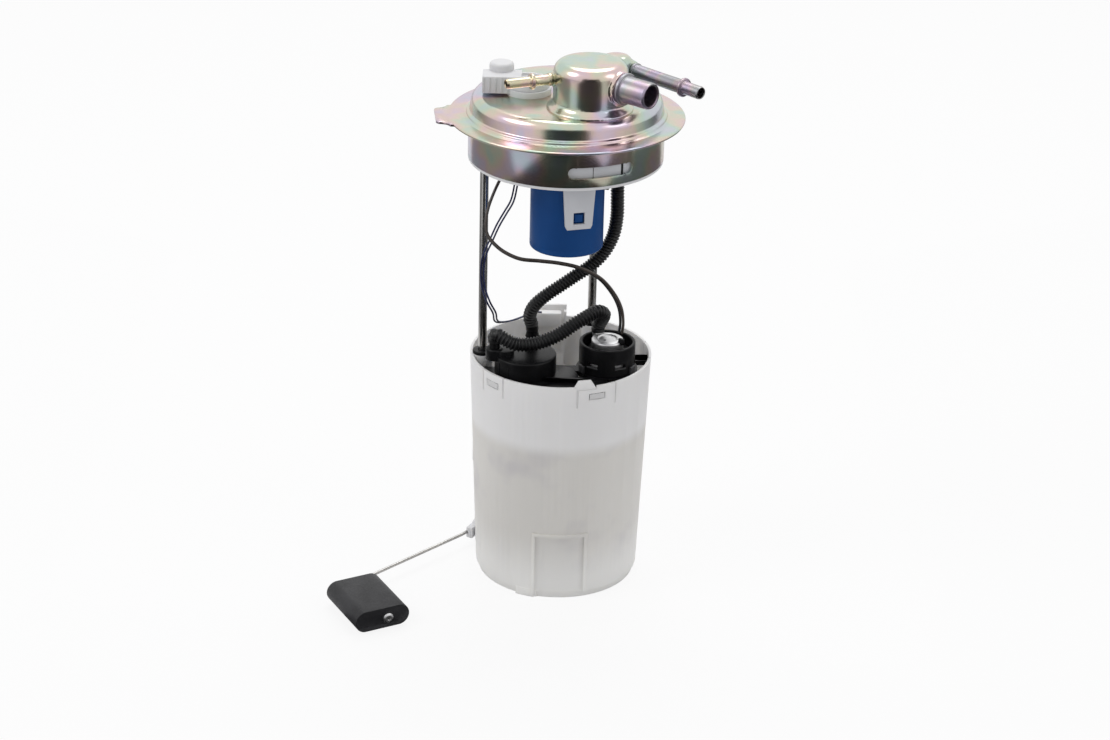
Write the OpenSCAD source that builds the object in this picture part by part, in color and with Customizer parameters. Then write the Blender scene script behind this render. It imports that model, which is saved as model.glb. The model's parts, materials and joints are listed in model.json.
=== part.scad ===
// In-tank fuel pump module: pressed cover with three ports, vent valve, two
// guide rods, and a sliding fuel reservoir with pump, filter and level sender.
// Millimetres. Origin on the module axis, in the plane of the reservoir's feet.

/* [Cover] */
// Height of the flange's seat above the reservoir's feet
seat_z = 286; // [284:1:300]
// Outer diameter of the flange under the tank's lock ring
flange_d = 135; // [130:1:142]
// Thickness of the pressed steel sheet
sheet = 1.6; // [1.2:0.1:2]
// Outer diameter of the skirt that enters the tank port
skirt_d = 112; // [111:0.5:113]
// Depth of the skirt below the seat
skirt_h = 23; // [21:0.5:25]
// Rise of the raised disc above the seat
disc_rise = 14; // [12:0.5:16]
// Diameter of the raised disc at its top edge
disc_d = 108; // [106:1:110]
// Reach of the locating tab from the axis
tab_reach = 75; // [72:1:80]
// Width of the locating tab
tab_w = 25; // [18:1:28]

/* [Ports] */
// Diameter of the port dome
dome_d = 42; // [40:1:44]
// Height of the port dome above the disc
dome_h = 27.5; // [26:0.5:32]
// Outer diameter of the filler vent tube
vent_d = 16; // [14:0.5:17]
// Wall of the filler vent tube
vent_wall = 2.1; // [1:0.1:2.5]
// Outer diameter of the feed tube
feed_d = 7.9; // [6:0.1:8.5]
// Outer diameter of the return tube
return_d = 6; // [5:0.1:7]
// Wall of the two small tubes
small_wall = 0.9; // [0.6:0.1:1.2]

/* [Vent valve] */
// Diameter of the vent valve's body
valve_d = 42; // [40:0.5:43]
// Depth of the valve's lower face below the seat
valve_drop = 69; // [66:1:72]
// Wall of the valve's body
valve_wall = 2; // [1.5:0.1:3]

/* [Guide rods] */
// Diameter of a guide rod
rod_d = 5; // [4:0.1:6]
// Running clearance between a rod and its bush, on the radius
rod_clear = 0.05; // [0.02:0.01:0.1]
// Depth of a rod inside its guide tube, below the rim
rod_depth = 22; // [18:1:26]

/* [Reservoir] */
// Outer diameter of the reservoir at its rim
rim_d = 107; // [105:0.5:109]
// Outer diameter of the reservoir at its floor
floor_d = 97; // [96:0.5:99]
// Height of the rim above the feet
rim_z = 140; // [138:1:142]
// Wall of the reservoir
wall = 1.5; // [1.2:0.1:2]
// Bore of a guide tube below its bush
tube_bore_d = 7; // [6.8:0.1:7.4]
// Depth of a guide tube below the rim
tube_depth = 70; // [66:1:80]

/* [Pump] */
// Diameter of the pump's steel can
can_d = 28.6; // [27:0.2:29]
// Outer diameter of the pump's cap
cap_d = 33; // [32:0.2:34]
// Height of the cap's rim above the feet
cap_z = 152; // [150:0.5:153]
// Diameter of the armature
armature_d = 19.6; // [18:0.2:20]
// Diameter of the motor shaft
shaft_d = 3.2; // [3:0.1:4]

/* [Filter] */
// Outer diameter of the filter housing
filter_d = 36; // [34:0.5:37]
// Height of the filter housing's body
filter_h = 74; // [60:1:80]

/* [Level sender] */
// Length of the float
float_l = 42; // [36:1:44]
// Width of the float
float_w = 34; // [30:1:36]
// Thickness of the float
float_t = 13; // [11:0.5:14]
// Diameter of the float's wire arm
wire_d = 2; // [1.6:0.1:2.4]

/* [Hoses and leads] */
// Outer diameter of the upper corrugated hose
upper_hose_d = 8; // [7:0.1:8.4]
// Outer diameter of the lower corrugated hose
lower_hose_d = 8.5; // [7:0.1:9]
// Outer diameter of one pump lead
pump_lead_d = 1.7; // [1.4:0.1:2]
// Outer diameter of one sender lead
sender_lead_d = 1.1; // [0.9:0.1:1.4]

/* [Hidden] */
$fn = 64;
fit = 0.3;
seat_gap = 0.1;
cut = 1;
skirt_z = seat_z - skirt_h;
disc_z = seat_z + disc_rise;
flange_r = flange_d / 2;
skirt_r = skirt_d / 2;
disc_r = disc_d / 2;
disc_fillet = 5;
foot_r = skirt_r + 0.8;
weld_groove = 0.4;
dome_x = 12.8;
dome_y = -25.5;
dome_r = dome_d / 2;
dome_fillet = 6;
lobe_x = 27;
lobe_y = -11;
lobe_r = 8.8;
vent_at = [22.5, -31.4, disc_z + 15.7];
vent_turn = -40;
vent_l = 30.5;
feed_at = [32.6, -7.8, disc_z + 18];
feed_turn = -46.2;
feed_l = 58.6;
return_at = [-3.6, -26.3, disc_z + 17];
return_turn = 203.3;
return_l = 33.2;
socket_x = -22;
socket_y = -1;
socket_r = 13;
carrier_r = skirt_r - sheet - fit;
carrier_wall = 1.9;
carrier_lip = 1.5;
carrier_plate_z = seat_z - 18;
carrier_plate_t = 2.5;
valve_x = 1.5;
valve_y = -24;
valve_r = valve_d / 2;
clip_turn = 17;
nipple_turn = -12;
nipple_z = seat_z - 31;
valve_z = seat_z - valve_drop;
valve_float_r = valve_r - valve_wall - 0.6;
valve_float_h = 26;
valve_cap_h = 7;
rod_x = [-46.2, 18.2];
rod_y = [-5, 43];
rod_r = rod_d / 2;
rod_end = rim_z - rod_depth;
rod_top = carrier_plate_z + carrier_plate_t + 6;
tube_bore_r = tube_bore_d / 2;
tube_r = tube_bore_r + wall;
bush_h = 12;
bush_r = rod_r + 2.1;
collar_r = bush_r + wall;
collar_h = bush_h + 3;
tube_top = rim_z;
tube_floor = rim_z - tube_depth;
spring_floor = tube_floor + 1.5;
spring_r = tube_bore_r - 0.4;
spring_wire = 0.9;
spring_turns = 13;
rim_r = rim_d / 2;
floor_r = floor_d / 2;
foot_h = 4;
floor_z = foot_h;
floor_t = 2;
inside_z = floor_z + floor_t;
window_x = 2;
window_w = 29;
window_h = 37.5;
pump_x = 27.2;
pump_y = -10.5;
can_r = can_d / 2;
can_z = 34;
can_top = cap_z - 10;
can_wall = 1.1;
cap_r = cap_d / 2;
cap_h = 20;
plate_z = cap_z - 20;
plate_t = 3;
finger_a = [-66, -137.5, 5];
armature_r = armature_d / 2;
shaft_r = shaft_d / 2;
shaft_clear = 0.05;
end_plate_t = 7;
impeller_t = 3.4;
impeller_r = can_r - can_wall - 1.2;
pump_floor = can_z + 3;
impeller_z = pump_floor + 4;
chamber_top = impeller_z + impeller_t + fit;
chamber_t = 5;
strainer_z = inside_z + 2.5;
filter_x = -20.5;
filter_y = -21.5;
filter_r = filter_d / 2;
shoulder = 1.2;
filter_top = plate_z + plate_t + 9;
filter_z = filter_top - filter_h;
outlet_x = pump_x - 5.6;
outlet_y = pump_y + 8.5;
barb_x = 30;
barb_y = -14;
elbow_x = -38.5;
elbow_y = -24;
spigot_x = -17;
spigot_y = -9;
upper_r = upper_hose_d / 2;
lower_r = lower_hose_d / 2;
tab_x = -18;
rear_tab_w = 21;
rear_tab_h = 8;
sender_a = 152;
sender_r = floor_r + 1.5;
pivot_z = 8.5;
pivot_r = sender_r + 4.6;
holder_t = 4;
holder_in = pivot_r - 1.6;
holder_out = holder_in + holder_t;
pin_r = 1.5;
wire_r = wire_d / 2;
float_turn = -61.4;
float_c = [-109.5, -72.5, float_t / 2 + 1.2];
bore_shift = 3.2;

// Routes of the hoses and leads, as points chosen by hand.
upper_route = [[30, -14, 262], [30, -14, 256], [30, -14, 248], [30.2, -14, 240],
    [30.2, -14, 231], [28.4, -14, 219.5], [23.2, -14, 208.5], [15.6, -14, 200],
    [7, -14, 193.5], [-1.5, -14, 187], [-10, -14, 180.5], [-16.2, -13, 173.7],
    [-18.6, -11, 166.5], [-17.4, -9.3, 161], [-17, -9, 157.3]];
lower_route = [[21.6, -2, 154.2], [21.8, -2, 158], [24, -3.4, 163], [24.4, -6, 167],
    [20.5, -10, 169.8], [14.5, -14.5, 168.3], [7.8, -18, 165.2], [-0.7, -21.5, 160.2],
    [-9.3, -24.5, 156.9], [-18, -26.5, 155.2], [-26.5, -27.3, 155.6], [-33, -26.6, 158.4],
    [-37, -25, 160], [-38.5, -24, 158.4], [-38.5, -24, 155.4]];
pump_lead_route = [[-28, -5, 266.2], [-29, -6, 262.5], [-33, -10, 258], [-37.5, -15, 251],
    [-41, -20, 244], [-43.5, -24, 237], [-44.5, -28, 230], [-43.5, -31, 225],
    [-40.5, -34, 221.5], [-34, -37, 217], [-24.5, -39, 213.5], [-13, -39, 212.5],
    [-2, -38, 211], [9.5, -37, 208], [21, -34.5, 201], [29, -30, 190], [33.5, -24, 178.5],
    [35, -18, 167], [34.5, -15, 159]];
sender_lead_route = [[-25, 1, 266.4], [-25.4, 0, 262], [-26.5, -3, 256], [-28, -5, 246],
    [-30, -7, 236.5], [-34, -8, 229], [-38, -8.5, 221.5], [-41.8, -9.5, 212.5],
    [-45, -10.5, 205], [-46.5, -10.5, 196.5], [-46, -10.5, 185], [-43, -10.5, 175],
    [-39.5, -5, 165.5], [-39, 6, 156.5], [-37.5, 15, 151], [-33.5, 23, 147.8],
    [-28.5, 29, 146.6], [-22, 34.5, 147], [-16, 38.5, 147.8], [-12, 39.3, 147.6]];

function smooth_point(p, t) = let (
    n = len(p), s = t * (n - 1), i = min(floor(s), n - 2), u = s - i,
    a = p[max(i - 1, 0)], b = p[i], c = p[i + 1], d = p[min(i + 2, n - 1)])
    0.5 * (2 * b + (c - a) * u + (2 * a - 5 * b + 4 * c - d) * u * u
        + (3 * b - a - 3 * c + d) * u * u * u);
function route_points(p, rings) = [for (k = [0:rings - 1]) smooth_point(p, k / (rings - 1))];
function unit(v) = v / norm(v);
function frames(q, i, n, up) = i == n ? [] : let (
    t = unit(q[min(i + 1, n - 1)] - q[max(i - 1, 0)]),
    x = unit(up - (up * t) * t))
    concat([[x, cross(t, x)]], frames(q, i + 1, n, x));

function corner_points(a, b, c, reach) = let (
    p = b + reach * unit(a - b), q = b + reach * unit(c - b))
    [for (t = [0:0.25:1]) (1 - t) * (1 - t) * p + 2 * t * (1 - t) * b + t * t * q];

// A round tube of radius r through the points of a smoothed route.
module swept_tube(route, r, rings, sides, shift = [0, 0]) {
    tube_along(route_points(route, rings), r, sides, [1, 0, 0.01], shift);
}

// A round tube of radius r with a ring at each point of q, one closed solid.
module tube_along(q, r, sides, up, shift = [0, 0]) {
    rings = len(q);
    f = frames(q, 0, rings, up);
    points = [for (k = [0:rings - 1]) for (s = [0:sides - 1]) let (a = 360 * s / sides)
        q[k] + f[k][0] * (shift[0] + r * cos(a)) + f[k][1] * (shift[1] + r * sin(a))];
    walls = [for (k = [0:rings - 2]) for (s = [0:sides - 1]) let (n = (s + 1) % sides)
        [k * sides + s, (k + 1) * sides + s, (k + 1) * sides + n, k * sides + n]];
    start = [[for (s = [0:sides - 1]) s]];
    end = [[for (s = [sides - 1:-1:0]) (rings - 1) * sides + s]];
    polyhedron(points = points, faces = concat(start, walls, end));
}

module rounded_disc(r, h, f) {
    rotate_extrude() {
        square([r - f, h]);
        square([r, h - f]);
        translate([r - f, h - f]) intersection() {
            circle(f);
            square(f);
        }
    }
}

module ring(r_out, r_in, h) {
    difference() {
        cylinder(r = r_out, h = h);
        translate([0, 0, -cut]) cylinder(r = r_in, h = h + 2 * cut);
    }
}

module slot(l, w, h) {
    for (x = [-1, 1]) translate([x * (l - w) / 2, 0, 0]) cylinder(d = w, h = h);
    translate([-(l - w) / 2, -w / 2, 0]) cube([l - w, w, h]);
}

module at_pivot(r) {
    rotate([0, 0, sender_a]) translate([r, 0, pivot_z]) rotate([0, 90, 0]) children();
}

module along_port(at, turn) {
    translate(at) rotate([0, 0, turn]) rotate([0, 90, 0]) children();
}

// Pressed cover: flange, locating tab and raised disc of one sheet.
module cover_plate() {
    color("silver") difference() {
        union() {
            translate([0, 0, seat_z]) cylinder(r = flange_r, h = sheet);
            translate([0, 0, seat_z]) cylinder(r1 = foot_r + 2, r2 = foot_r, h = 3.4);
            translate([0, 0, seat_z]) rounded_disc(disc_r + 1.4, disc_rise - 5, 2);
            translate([0, 0, seat_z]) rounded_disc(disc_r, disc_rise, disc_fillet);
            translate([0, 0, seat_z]) linear_extrude(sheet) locating_tab();
        }
        translate([0, 0, seat_z - cut])
            rounded_disc(disc_r - sheet, disc_rise - sheet + cut, disc_fillet - sheet);
        translate([0, 0, seat_z - cut]) cylinder(r = skirt_r + seat_gap, h = cut + weld_groove);
        translate([dome_x, dome_y, seat_z]) cylinder(r = dome_r - 5, h = disc_rise + cut);
        translate([socket_x, socket_y, seat_z]) cylinder(r = socket_r - 3, h = disc_rise + cut);
    }
}

// Outline of the locating tab: a neck with filleted roots and a wider head.
module locating_tab() {
    rotate(186) {
        translate([flange_r - 8, -tab_w / 2]) square([tab_reach - flange_r + 5, tab_w]);
        translate([tab_reach - 6, -tab_w / 2]) square([3, tab_w]);
        translate([tab_reach - 3, -tab_w / 2 + 3]) square([3, tab_w - 6]);
        for (y = [-1, 1]) translate([tab_reach - 3, y * (tab_w / 2 - 3)]) circle(3);
        for (y = [-1, 1]) difference() {
            translate([flange_r - 5, y * (tab_w / 2 + 3) - 3]) square([9, 6]);
            translate([flange_r + 5.6, y * (tab_w / 2 + 6)]) circle(6);
        }
    }
}

// Deep skirt that enters the tank's port, with an oval slot at the front.
module skirt_ring() {
    slot_r = 3.25;
    color("silver") difference() {
        translate([0, 0, skirt_z]) ring(skirt_r, skirt_r - sheet, skirt_h + weld_groove);
        slot_row(slot_r, -85.2, 33.6);
        translate([0, 0, skirt_z]) rotate([0, 0, 100]) rotate([0, 90, 0])
            translate([-skirt_h / 2, 0, skirt_r - 3]) cylinder(r = 2.5, h = 6);
    }
}

// A curved slot through the skirt: two round ends joined by a band.
module slot_row(r, from, sweep) {
    z = skirt_z + 8.5;
    far = 2 * skirt_r;
    for (a = [from, from + sweep]) rotate([0, 0, a]) translate([0, 0, z]) rotate([0, 90, 0])
        translate([0, 0, skirt_r - 6]) cylinder(r = r, h = 12);
    translate([0, 0, z - r]) linear_extrude(2 * r) polygon([
        10 * [cos(from + sweep / 2), sin(from + sweep / 2)],
        far * [cos(from), sin(from)], far * [cos(from + sweep), sin(from + sweep)]]);
}

// Drawn dome that carries the three tubes, with a lobe over the feed tube.
module port_dome() {
    color("silver") difference() {
        union() {
            translate([dome_x, dome_y, disc_z]) cylinder(r = dome_r + 3.5, h = sheet);
            translate([dome_x, dome_y, disc_z])
                cylinder(r1 = dome_r + 2.6, r2 = dome_r, h = 3.6);
            translate([dome_x, dome_y, disc_z]) rounded_disc(dome_r, dome_h, dome_fillet);
            translate([lobe_x, lobe_y, disc_z]) rounded_disc(lobe_r, dome_h - 1, 4);
            along_port(vent_at, vent_turn) cylinder(d = vent_d + 2.6, h = 10.6);
        }
        translate([dome_x, dome_y, disc_z - cut])
            rounded_disc(dome_r - sheet, dome_h - sheet + cut, dome_fillet - sheet);
        translate([lobe_x, lobe_y, disc_z - cut])
            rounded_disc(lobe_r - sheet, dome_h - sheet + cut - 1, 3);
        along_port(vent_at, vent_turn) cylinder(d = vent_d, h = 12);
        along_port(feed_at, feed_turn) cylinder(d = feed_d, h = 12);
        along_port(return_at, return_turn) cylinder(d = return_d, h = 12);
    }
}

// A straight port tube with a root collar, a retaining bead and a plain nose.
module port_tube(d, nose_d, bore_d, l, bead_at, bead_d, collar_d, collar_at) {
    difference() {
        union() {
            cylinder(d = d, h = bead_at);
            translate([0, 0, bead_at - cut]) cylinder(d = nose_d, h = l - bead_at + cut - 0.8);
            translate([0, 0, l - 0.8 - cut / 2]) cylinder(d1 = nose_d, d2 = nose_d - 1, h = 0.8 + cut / 2);
            translate([0, 0, bead_at]) rotate_extrude() {
                square([bead_d / 2 - 1, 2]);
                translate([bead_d / 2 - 1, 1]) circle(1);
            }
            translate([0, 0, collar_at]) cylinder(d = collar_d, h = 1.6);
        }
        translate([0, 0, -cut]) cylinder(d = bore_d, h = l + 2 * cut);
    }
}

module filler_vent_tube() {
    color("silver") along_port(vent_at, vent_turn)
        port_tube(vent_d, vent_d - 1, vent_d - 2 * vent_wall - 0.1, vent_l, 11.4, vent_d + 2.3,
            vent_d, 2);
}

module feed_tube() {
    color("silver") along_port(feed_at, feed_turn)
        port_tube(feed_d, feed_d - 0.6, feed_d - 2 * small_wall - 0.4, feed_l, 44.2, feed_d + 2.8,
            feed_d + 1.2, 7);
}

module return_tube() {
    color("rosybrown") along_port(return_at, return_turn)
        port_tube(return_d, return_d - 0.4, return_d - 2 * small_wall, return_l, 16.7,
            return_d + 3.2, return_d + 1.2, 6.4);
}

// Electrical pass-through: round base, shrouded socket and a rear tower.
module connector_body() {
    color("whitesmoke") difference() {
        union() {
            translate([socket_x, socket_y, disc_z]) cylinder(r = socket_r, h = 3.5);
            translate([socket_x, socket_y, carrier_plate_z - 1.5])
                cylinder(r = socket_r - 3.2, h = disc_z - carrier_plate_z + 2);
            translate([socket_x, socket_y, disc_z]) rounded_disc(socket_r - 3, 7, 1.5);
            translate([-48, -9, disc_z + 1.4]) cube([22, 14, 9.6]);
            translate([-37.5, 6, disc_z]) rounded_disc(7, 15.5, 2);
            translate([-44.5, 3, disc_z]) cube([14, 5, 11]);
        }
        translate([-49, -7.4, disc_z + 3]) cube([14, 10.8, 6.4]);
        translate([socket_x + 2, socket_y - 1, disc_z + 4.5]) difference() {
            cylinder(r = socket_r - 5, h = 4);
            translate([-2, -15, -1]) cube([1.6, 30, 6]);
        }
    }
}

module connector_pins() {
    pin_gap = 2.6;
    color("goldenrod") for (k = [-1.5:1:1.5])
        translate([-42, -2 + k * pin_gap, disc_z + 6.2]) rotate([0, 90, 0]) cylinder(d = 1, h = 7);
}

// Rubber ring that seals the connector's base on the disc.
module connector_seal() {
    color("black") translate([socket_x, socket_y, disc_z - sheet - 1.6])
        ring(socket_r - 0.5, socket_r - 3.2, 1.6);
}

// Moulded carrier in the skirt: it holds the vent valve, rods and connector.
module valve_carrier() {
    clip_top = carrier_plate_z + carrier_plate_t;
    color("whitesmoke") difference() {
        union() {
            translate([0, 0, skirt_z - carrier_lip])
                ring(carrier_r, carrier_r - carrier_wall, skirt_h + carrier_lip - 0.4);
            difference() {
                translate([0, 0, carrier_plate_z])
                    cylinder(r = carrier_r, h = carrier_plate_t);
                translate([valve_x, valve_y, skirt_z])
                    cylinder(r = valve_r + fit, h = skirt_h);
            }
            for (i = [0, 1]) translate([rod_x[i], rod_y[i], carrier_plate_z - 3])
                cylinder(r = rod_r + 2.2, h = 3 + carrier_plate_t);
            rotate_about_valve(clip_turn) clip_tongue(clip_top);
            for (a = [30:60:330]) rotate([0, 0, a]) translate([carrier_r - 14, -0.8, carrier_plate_z])
                cube([13, 1.6, 12]);
        }
        for (i = [0, 1]) translate([rod_x[i], rod_y[i], skirt_z - 9])
            cylinder(r = rod_r, h = skirt_h + 9);
        translate([socket_x, socket_y, carrier_plate_z - cut]) cylinder(r = socket_r - 3, h = 6);
        translate([barb_x, barb_y, carrier_plate_z - cut]) cylinder(r = 2.6, h = 6);
        translate([valve_x, valve_y, valve_z]) cylinder(r = valve_r + fit, h = valve_drop - 8);
    }
}

// Tapered spring tongue in front of the valve, with a square window.
module clip_tongue(top) {
    low = valve_z + 18;
    front = -valve_r - 2.3;
    difference() {
        translate([0, front + 2, 0]) rotate([90, 0, 0]) linear_extrude(2)
            polygon([[-10, top], [-7.8, low + 2], [-6.8, low], [6.8, low], [7.8, low + 2], [10, top]]);
        translate([-3.3, front - cut, low + 3]) cube([6.6, 6, 7]);
    }
    translate([-10, front, carrier_plate_z]) cube([20, 5, carrier_plate_t]);
}

// Body of the vent valve: a cup that opens downward, with a latch and a nub.
module vent_valve_body() {
    top = carrier_plate_z + 10;
    color("steelblue") difference() {
        union() {
            translate([valve_x, valve_y, valve_z + 3]) cylinder(r = valve_r, h = top - valve_z - 3);
            rotate_about_valve(clip_turn) translate([-2.2, -valve_r - 1.6, valve_z + 22.2])
                cube([4.4, 2.6, 4.4]);
            translate([valve_x, valve_y, top]) cylinder(r = 5, h = 6);
        }
        translate([valve_x, valve_y, valve_z]) cylinder(r = valve_r - valve_wall, h = top - valve_z - 3);
        translate([valve_x, valve_y, top - 4]) cylinder(r = 3.2, h = 11);
        rotate_about_valve(nipple_turn) translate([valve_r - 4, 0, nipple_z]) rotate([0, 90, 0])
            cylinder(r = 1.6, h = 8);
    }
}

// Short black pipe in the side of the valve.
module vent_valve_nipple() {
    color("black") rotate_about_valve(nipple_turn) translate([valve_r - 1.2, 0, nipple_z])
        rotate([0, 90, 0]) difference() {
            union() {
                cylinder(r = 1.6, h = 3);
                translate([0, 0, 1.4]) cylinder(r = 2.3, h = 2.6);
            }
            translate([0, 0, -cut]) cylinder(r = 0.8, h = 8);
        }
}

module vent_valve_cap() {
    color("steelblue") difference() {
        translate([valve_x, valve_y, valve_z]) union() {
            rounded_lip(valve_r, 3);
            cylinder(r = valve_r - valve_wall - 0.1, h = valve_cap_h);
        }
        translate([valve_x, valve_y, valve_z + 2]) cylinder(r = valve_r - 2 * valve_wall, h = valve_cap_h);
        for (k = [0:5]) rotate_about_valve(60 * k) translate([11, 0, valve_z - cut])
            cylinder(r = 2.4, h = 5);
    }
}

module rotate_about_valve(a) {
    translate([valve_x, valve_y, 0]) rotate([0, 0, a]) children();
}

// A short disc with its lower edge rounded.
module rounded_lip(r, h) {
    translate([0, 0, h]) mirror([0, 0, 1]) rounded_disc(r, h, 1.2);
}

// Float that closes the valve's nozzle when fuel rises.
module vent_valve_float() {
    color("ivory") translate([valve_x, valve_y, valve_z + valve_cap_h + fit]) difference() {
        union() {
            cylinder(r = valve_float_r, h = valve_float_h);
            translate([0, 0, valve_float_h]) cylinder(r1 = 5, r2 = 1.5, h = 5);
        }
        translate([0, 0, -cut]) ring_cut(valve_float_r - 2, 4, valve_float_h - 2);
    }
}

module ring_cut(r_out, r_in, h) {
    difference() {
        cylinder(r = r_out, h = h);
        cylinder(r = r_in, h = h);
    }
}

module guide_rods() {
    color("lightsteelblue") for (i = [0, 1]) translate([rod_x[i], rod_y[i], rod_end]) {
        cylinder(r = rod_r, h = rod_top - rod_end - 0.6);
        cylinder(r = rod_r - 0.6, h = rod_top - rod_end);
    }
}

// Push-on clips that hold the rods in the carrier.
module rod_clips() {
    color("dimgray") for (i = [0, 1])
        translate([rod_x[i], rod_y[i], carrier_plate_z + carrier_plate_t])
            ring(rod_r + 2.2, rod_r, 1);
}

module cover_hose_barb() {
    color("dimgray") translate([barb_x, barb_y, 0]) difference() {
        union() {
            translate([0, 0, carrier_plate_z - cut]) cylinder(r = 2.6, h = 14);
            translate([0, 0, carrier_plate_z + carrier_plate_t]) cylinder(r = 4.4, h = 3);
            translate([0, 0, 262]) cylinder(r = 3.6, h = carrier_plate_z - 262);
        }
        translate([0, 0, 261]) cylinder(r = 1.6, h = carrier_plate_z - 244);
    }
}

// Outline of the reservoir's tapered side, grown or shrunk by a margin.
module side_cone(margin, z_low, z_high) {
    slope = (rim_r - floor_r) / rim_z;
    translate([0, 0, z_low]) cylinder(r1 = floor_r + slope * z_low + margin,
        r2 = floor_r + slope * z_high + margin, h = z_high - z_low);
}

// Swirl-pot reservoir with guide tubes, snap fingers, feet and a front recess.
module reservoir() {
    color("seashell") difference() {
        union() {
            difference() {
                side_cone(0, foot_h, rim_z);
                side_cone(-wall, inside_z, rim_z + cut);
            }
            for (i = [0, 1]) translate([rod_x[i], rod_y[i], 0]) {
                translate([0, 0, tube_floor]) cylinder(r = tube_r, h = tube_depth);
                translate([0, 0, tube_top - collar_h]) cylinder(r = collar_r, h = collar_h);
            }
            ring(floor_r - 1.5, floor_r - 4, foot_h + cut);
            reservoir_feet();
            recess_frame();
            rear_tab();
        }
        for (i = [0, 1]) translate([rod_x[i], rod_y[i], 0]) {
            translate([0, 0, spring_floor]) cylinder(r = tube_bore_r, h = rim_z);
            translate([0, 0, tube_top - bush_h]) cylinder(r = bush_r, h = bush_h + cut);
        }
        front_recess();
        finger_slits();
        translate([0, 0, -cut]) cylinder(r = 9, h = inside_z + 2 * cut);
    }
}

// Two feet at the front and two at the back, under the side wall.
module reservoir_feet() {
    for (a = [-111, -64, 60, 115]) rotate([0, 0, a]) intersection() {
        ring(floor_r + 0.4, floor_r - 4, foot_h + cut);
        translate([30, -6.5, 0]) cube([30, 13, foot_h + cut]);
    }
}

// Raised border of the recess at the front of the side wall.
module recess_frame() {
    difference() {
        intersection() {
            translate([window_x - window_w / 2 - 2, -rim_r, foot_h])
                cube([window_w + 4, 40, window_h + 2]);
            side_cone(1, foot_h, rim_z);
        }
        side_cone(-wall, inside_z - cut, rim_z);
    }
}

module front_recess() {
    difference() {
        translate([window_x - window_w / 2, -rim_r, -cut]) cube([window_w, 30, window_h + foot_h + cut]);
        side_cone(-0.5, -cut, rim_z);
    }
    translate([window_x - window_w / 2 + 2, -rim_r, -cut])
        cube([window_w - 4, rim_r - floor_r + 1.3, foot_h + cut]);
}

// Snap fingers of the rim: slits with a small window below the edge.
module finger_slits() {
    for (a = [-79, -53, -147, -128, -8, 18]) rotate([0, 0, a])
        translate([rim_r - 6, -0.6, rim_z - 13]) cube([12, 1.2, 14]);
    for (a = finger_a) rotate([0, 0, a])
        translate([rim_r - 6, -5, plate_z - 0.5]) cube([12, 10, plate_t + 1]);
    rotate([0, 0, -73]) translate([rim_r - 6, -6, rim_z - 2]) cube([12, 12, 3]);
}

// Upright tab at the back of the rim that carries the sender's connector.
module rear_tab() {
    intersection() {
        translate([tab_x, 35, rim_z - 22]) cube([rear_tab_w, 20, 22 + rear_tab_h]);
        ring(rim_r - 1, rim_r - 2.6, 200);
    }
    intersection() {
        for (x = [tab_x, tab_x + rear_tab_w - 1.4]) translate([x, 35, rim_z - 30])
            cube([1.4, 20, 30 + rear_tab_h - 3]);
        ring(rim_r - 1, rim_r - 6, 200);
    }
}

// Bushes in the tops of the guide tubes; the rods slide in them.
module rod_bushes() {
    color("dimgray") for (i = [0, 1]) translate([rod_x[i], rod_y[i], 0]) difference() {
        union() {
            translate([0, 0, tube_top - bush_h]) cylinder(r = bush_r, h = bush_h);
            translate([0, 0, tube_top]) cylinder(r = collar_r - 0.4, h = 2);
        }
        translate([0, 0, tube_top - bush_h - cut])
            cylinder(r = rod_r + rod_clear, h = bush_h + 2 + 2 * cut);
    }
}

// Springs that press the reservoir onto the tank's floor.
module guide_springs() {
    color("silver") for (i = [0, 1]) translate([rod_x[i], rod_y[i], spring_floor])
        coil_spring(spring_r, spring_wire / 2, rod_end - spring_floor, spring_turns);
}

// A coil spring of wire radius w and outer radius r, one closed solid.
module coil_spring(r, w, h, turns) {
    per_turn = 10;
    sides = 6;
    n = per_turn * turns;
    rise = (h - 2 * w) / n;
    points = [for (k = [0:n]) for (s = [0:sides - 1]) let (
        a = 360 * k / per_turn, b = 360 * s / sides, c = r - w + w * cos(b))
        [c * cos(a), c * sin(a), w + k * rise + w * sin(b)]];
    walls = [for (k = [0:n - 1]) for (s = [0:sides - 1]) let (m = (s + 1) % sides)
        for (t = [[k * sides + s, k * sides + m, (k + 1) * sides + m],
            [k * sides + s, (k + 1) * sides + m, (k + 1) * sides + s]]) t];
    start = [[for (s = [sides - 1:-1:0]) s]];
    end = [[for (s = [0:sides - 1]) n * sides + s]];
    polyhedron(points = points, faces = concat(start, walls, end));
}

// Carrier plate across the reservoir: it holds the pump and the filter.
module pump_carrier() {
    color("dimgray") difference() {
        union() {
            translate([filter_x, filter_y, plate_z]) cylinder(r = filter_r + 1.4, h = plate_t);
            translate([pump_x, pump_y, plate_z]) cylinder(r = cap_r + 1.6, h = plate_t);
            translate([filter_x, filter_y - 16, plate_z]) cube([pump_x - filter_x, 12, plate_t]);
            translate([filter_x, filter_y - 16, plate_z]) cube([34, 1.6, 7]);
            translate([-3, -45, plate_z]) cube([13, 12, plate_t]);
            translate([filter_x + 6, filter_y + 4, plate_z]) cube([32, 8, plate_t]);
            for (a = finger_a) rotate([0, 0, a]) {
                translate([rim_r - 24, -4.5, plate_z]) cube([24 - wall - 1.1, 9, plate_t]);
                translate([rim_r - 8, -4, plate_z]) cube([7.4, 8, plate_t]);
            }
        }
        translate([filter_x, filter_y, plate_z - cut]) cylinder(r = filter_r + seat_gap, h = 12);
        translate([filter_x, filter_y, plate_z + plate_t])
            cylinder(r = filter_r + shoulder + fit, h = 12);
        translate([pump_x, pump_y, plate_z - cut]) cylinder(r = cap_r + seat_gap, h = 12);
        translate([5, -34, plate_z - cut]) cylinder(r = 1.6, h = 2 * plate_t);
        translate([rod_x[0], rod_y[0], plate_z - cut]) cylinder(r = collar_r + 0.4, h = 12);
    }
}

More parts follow.
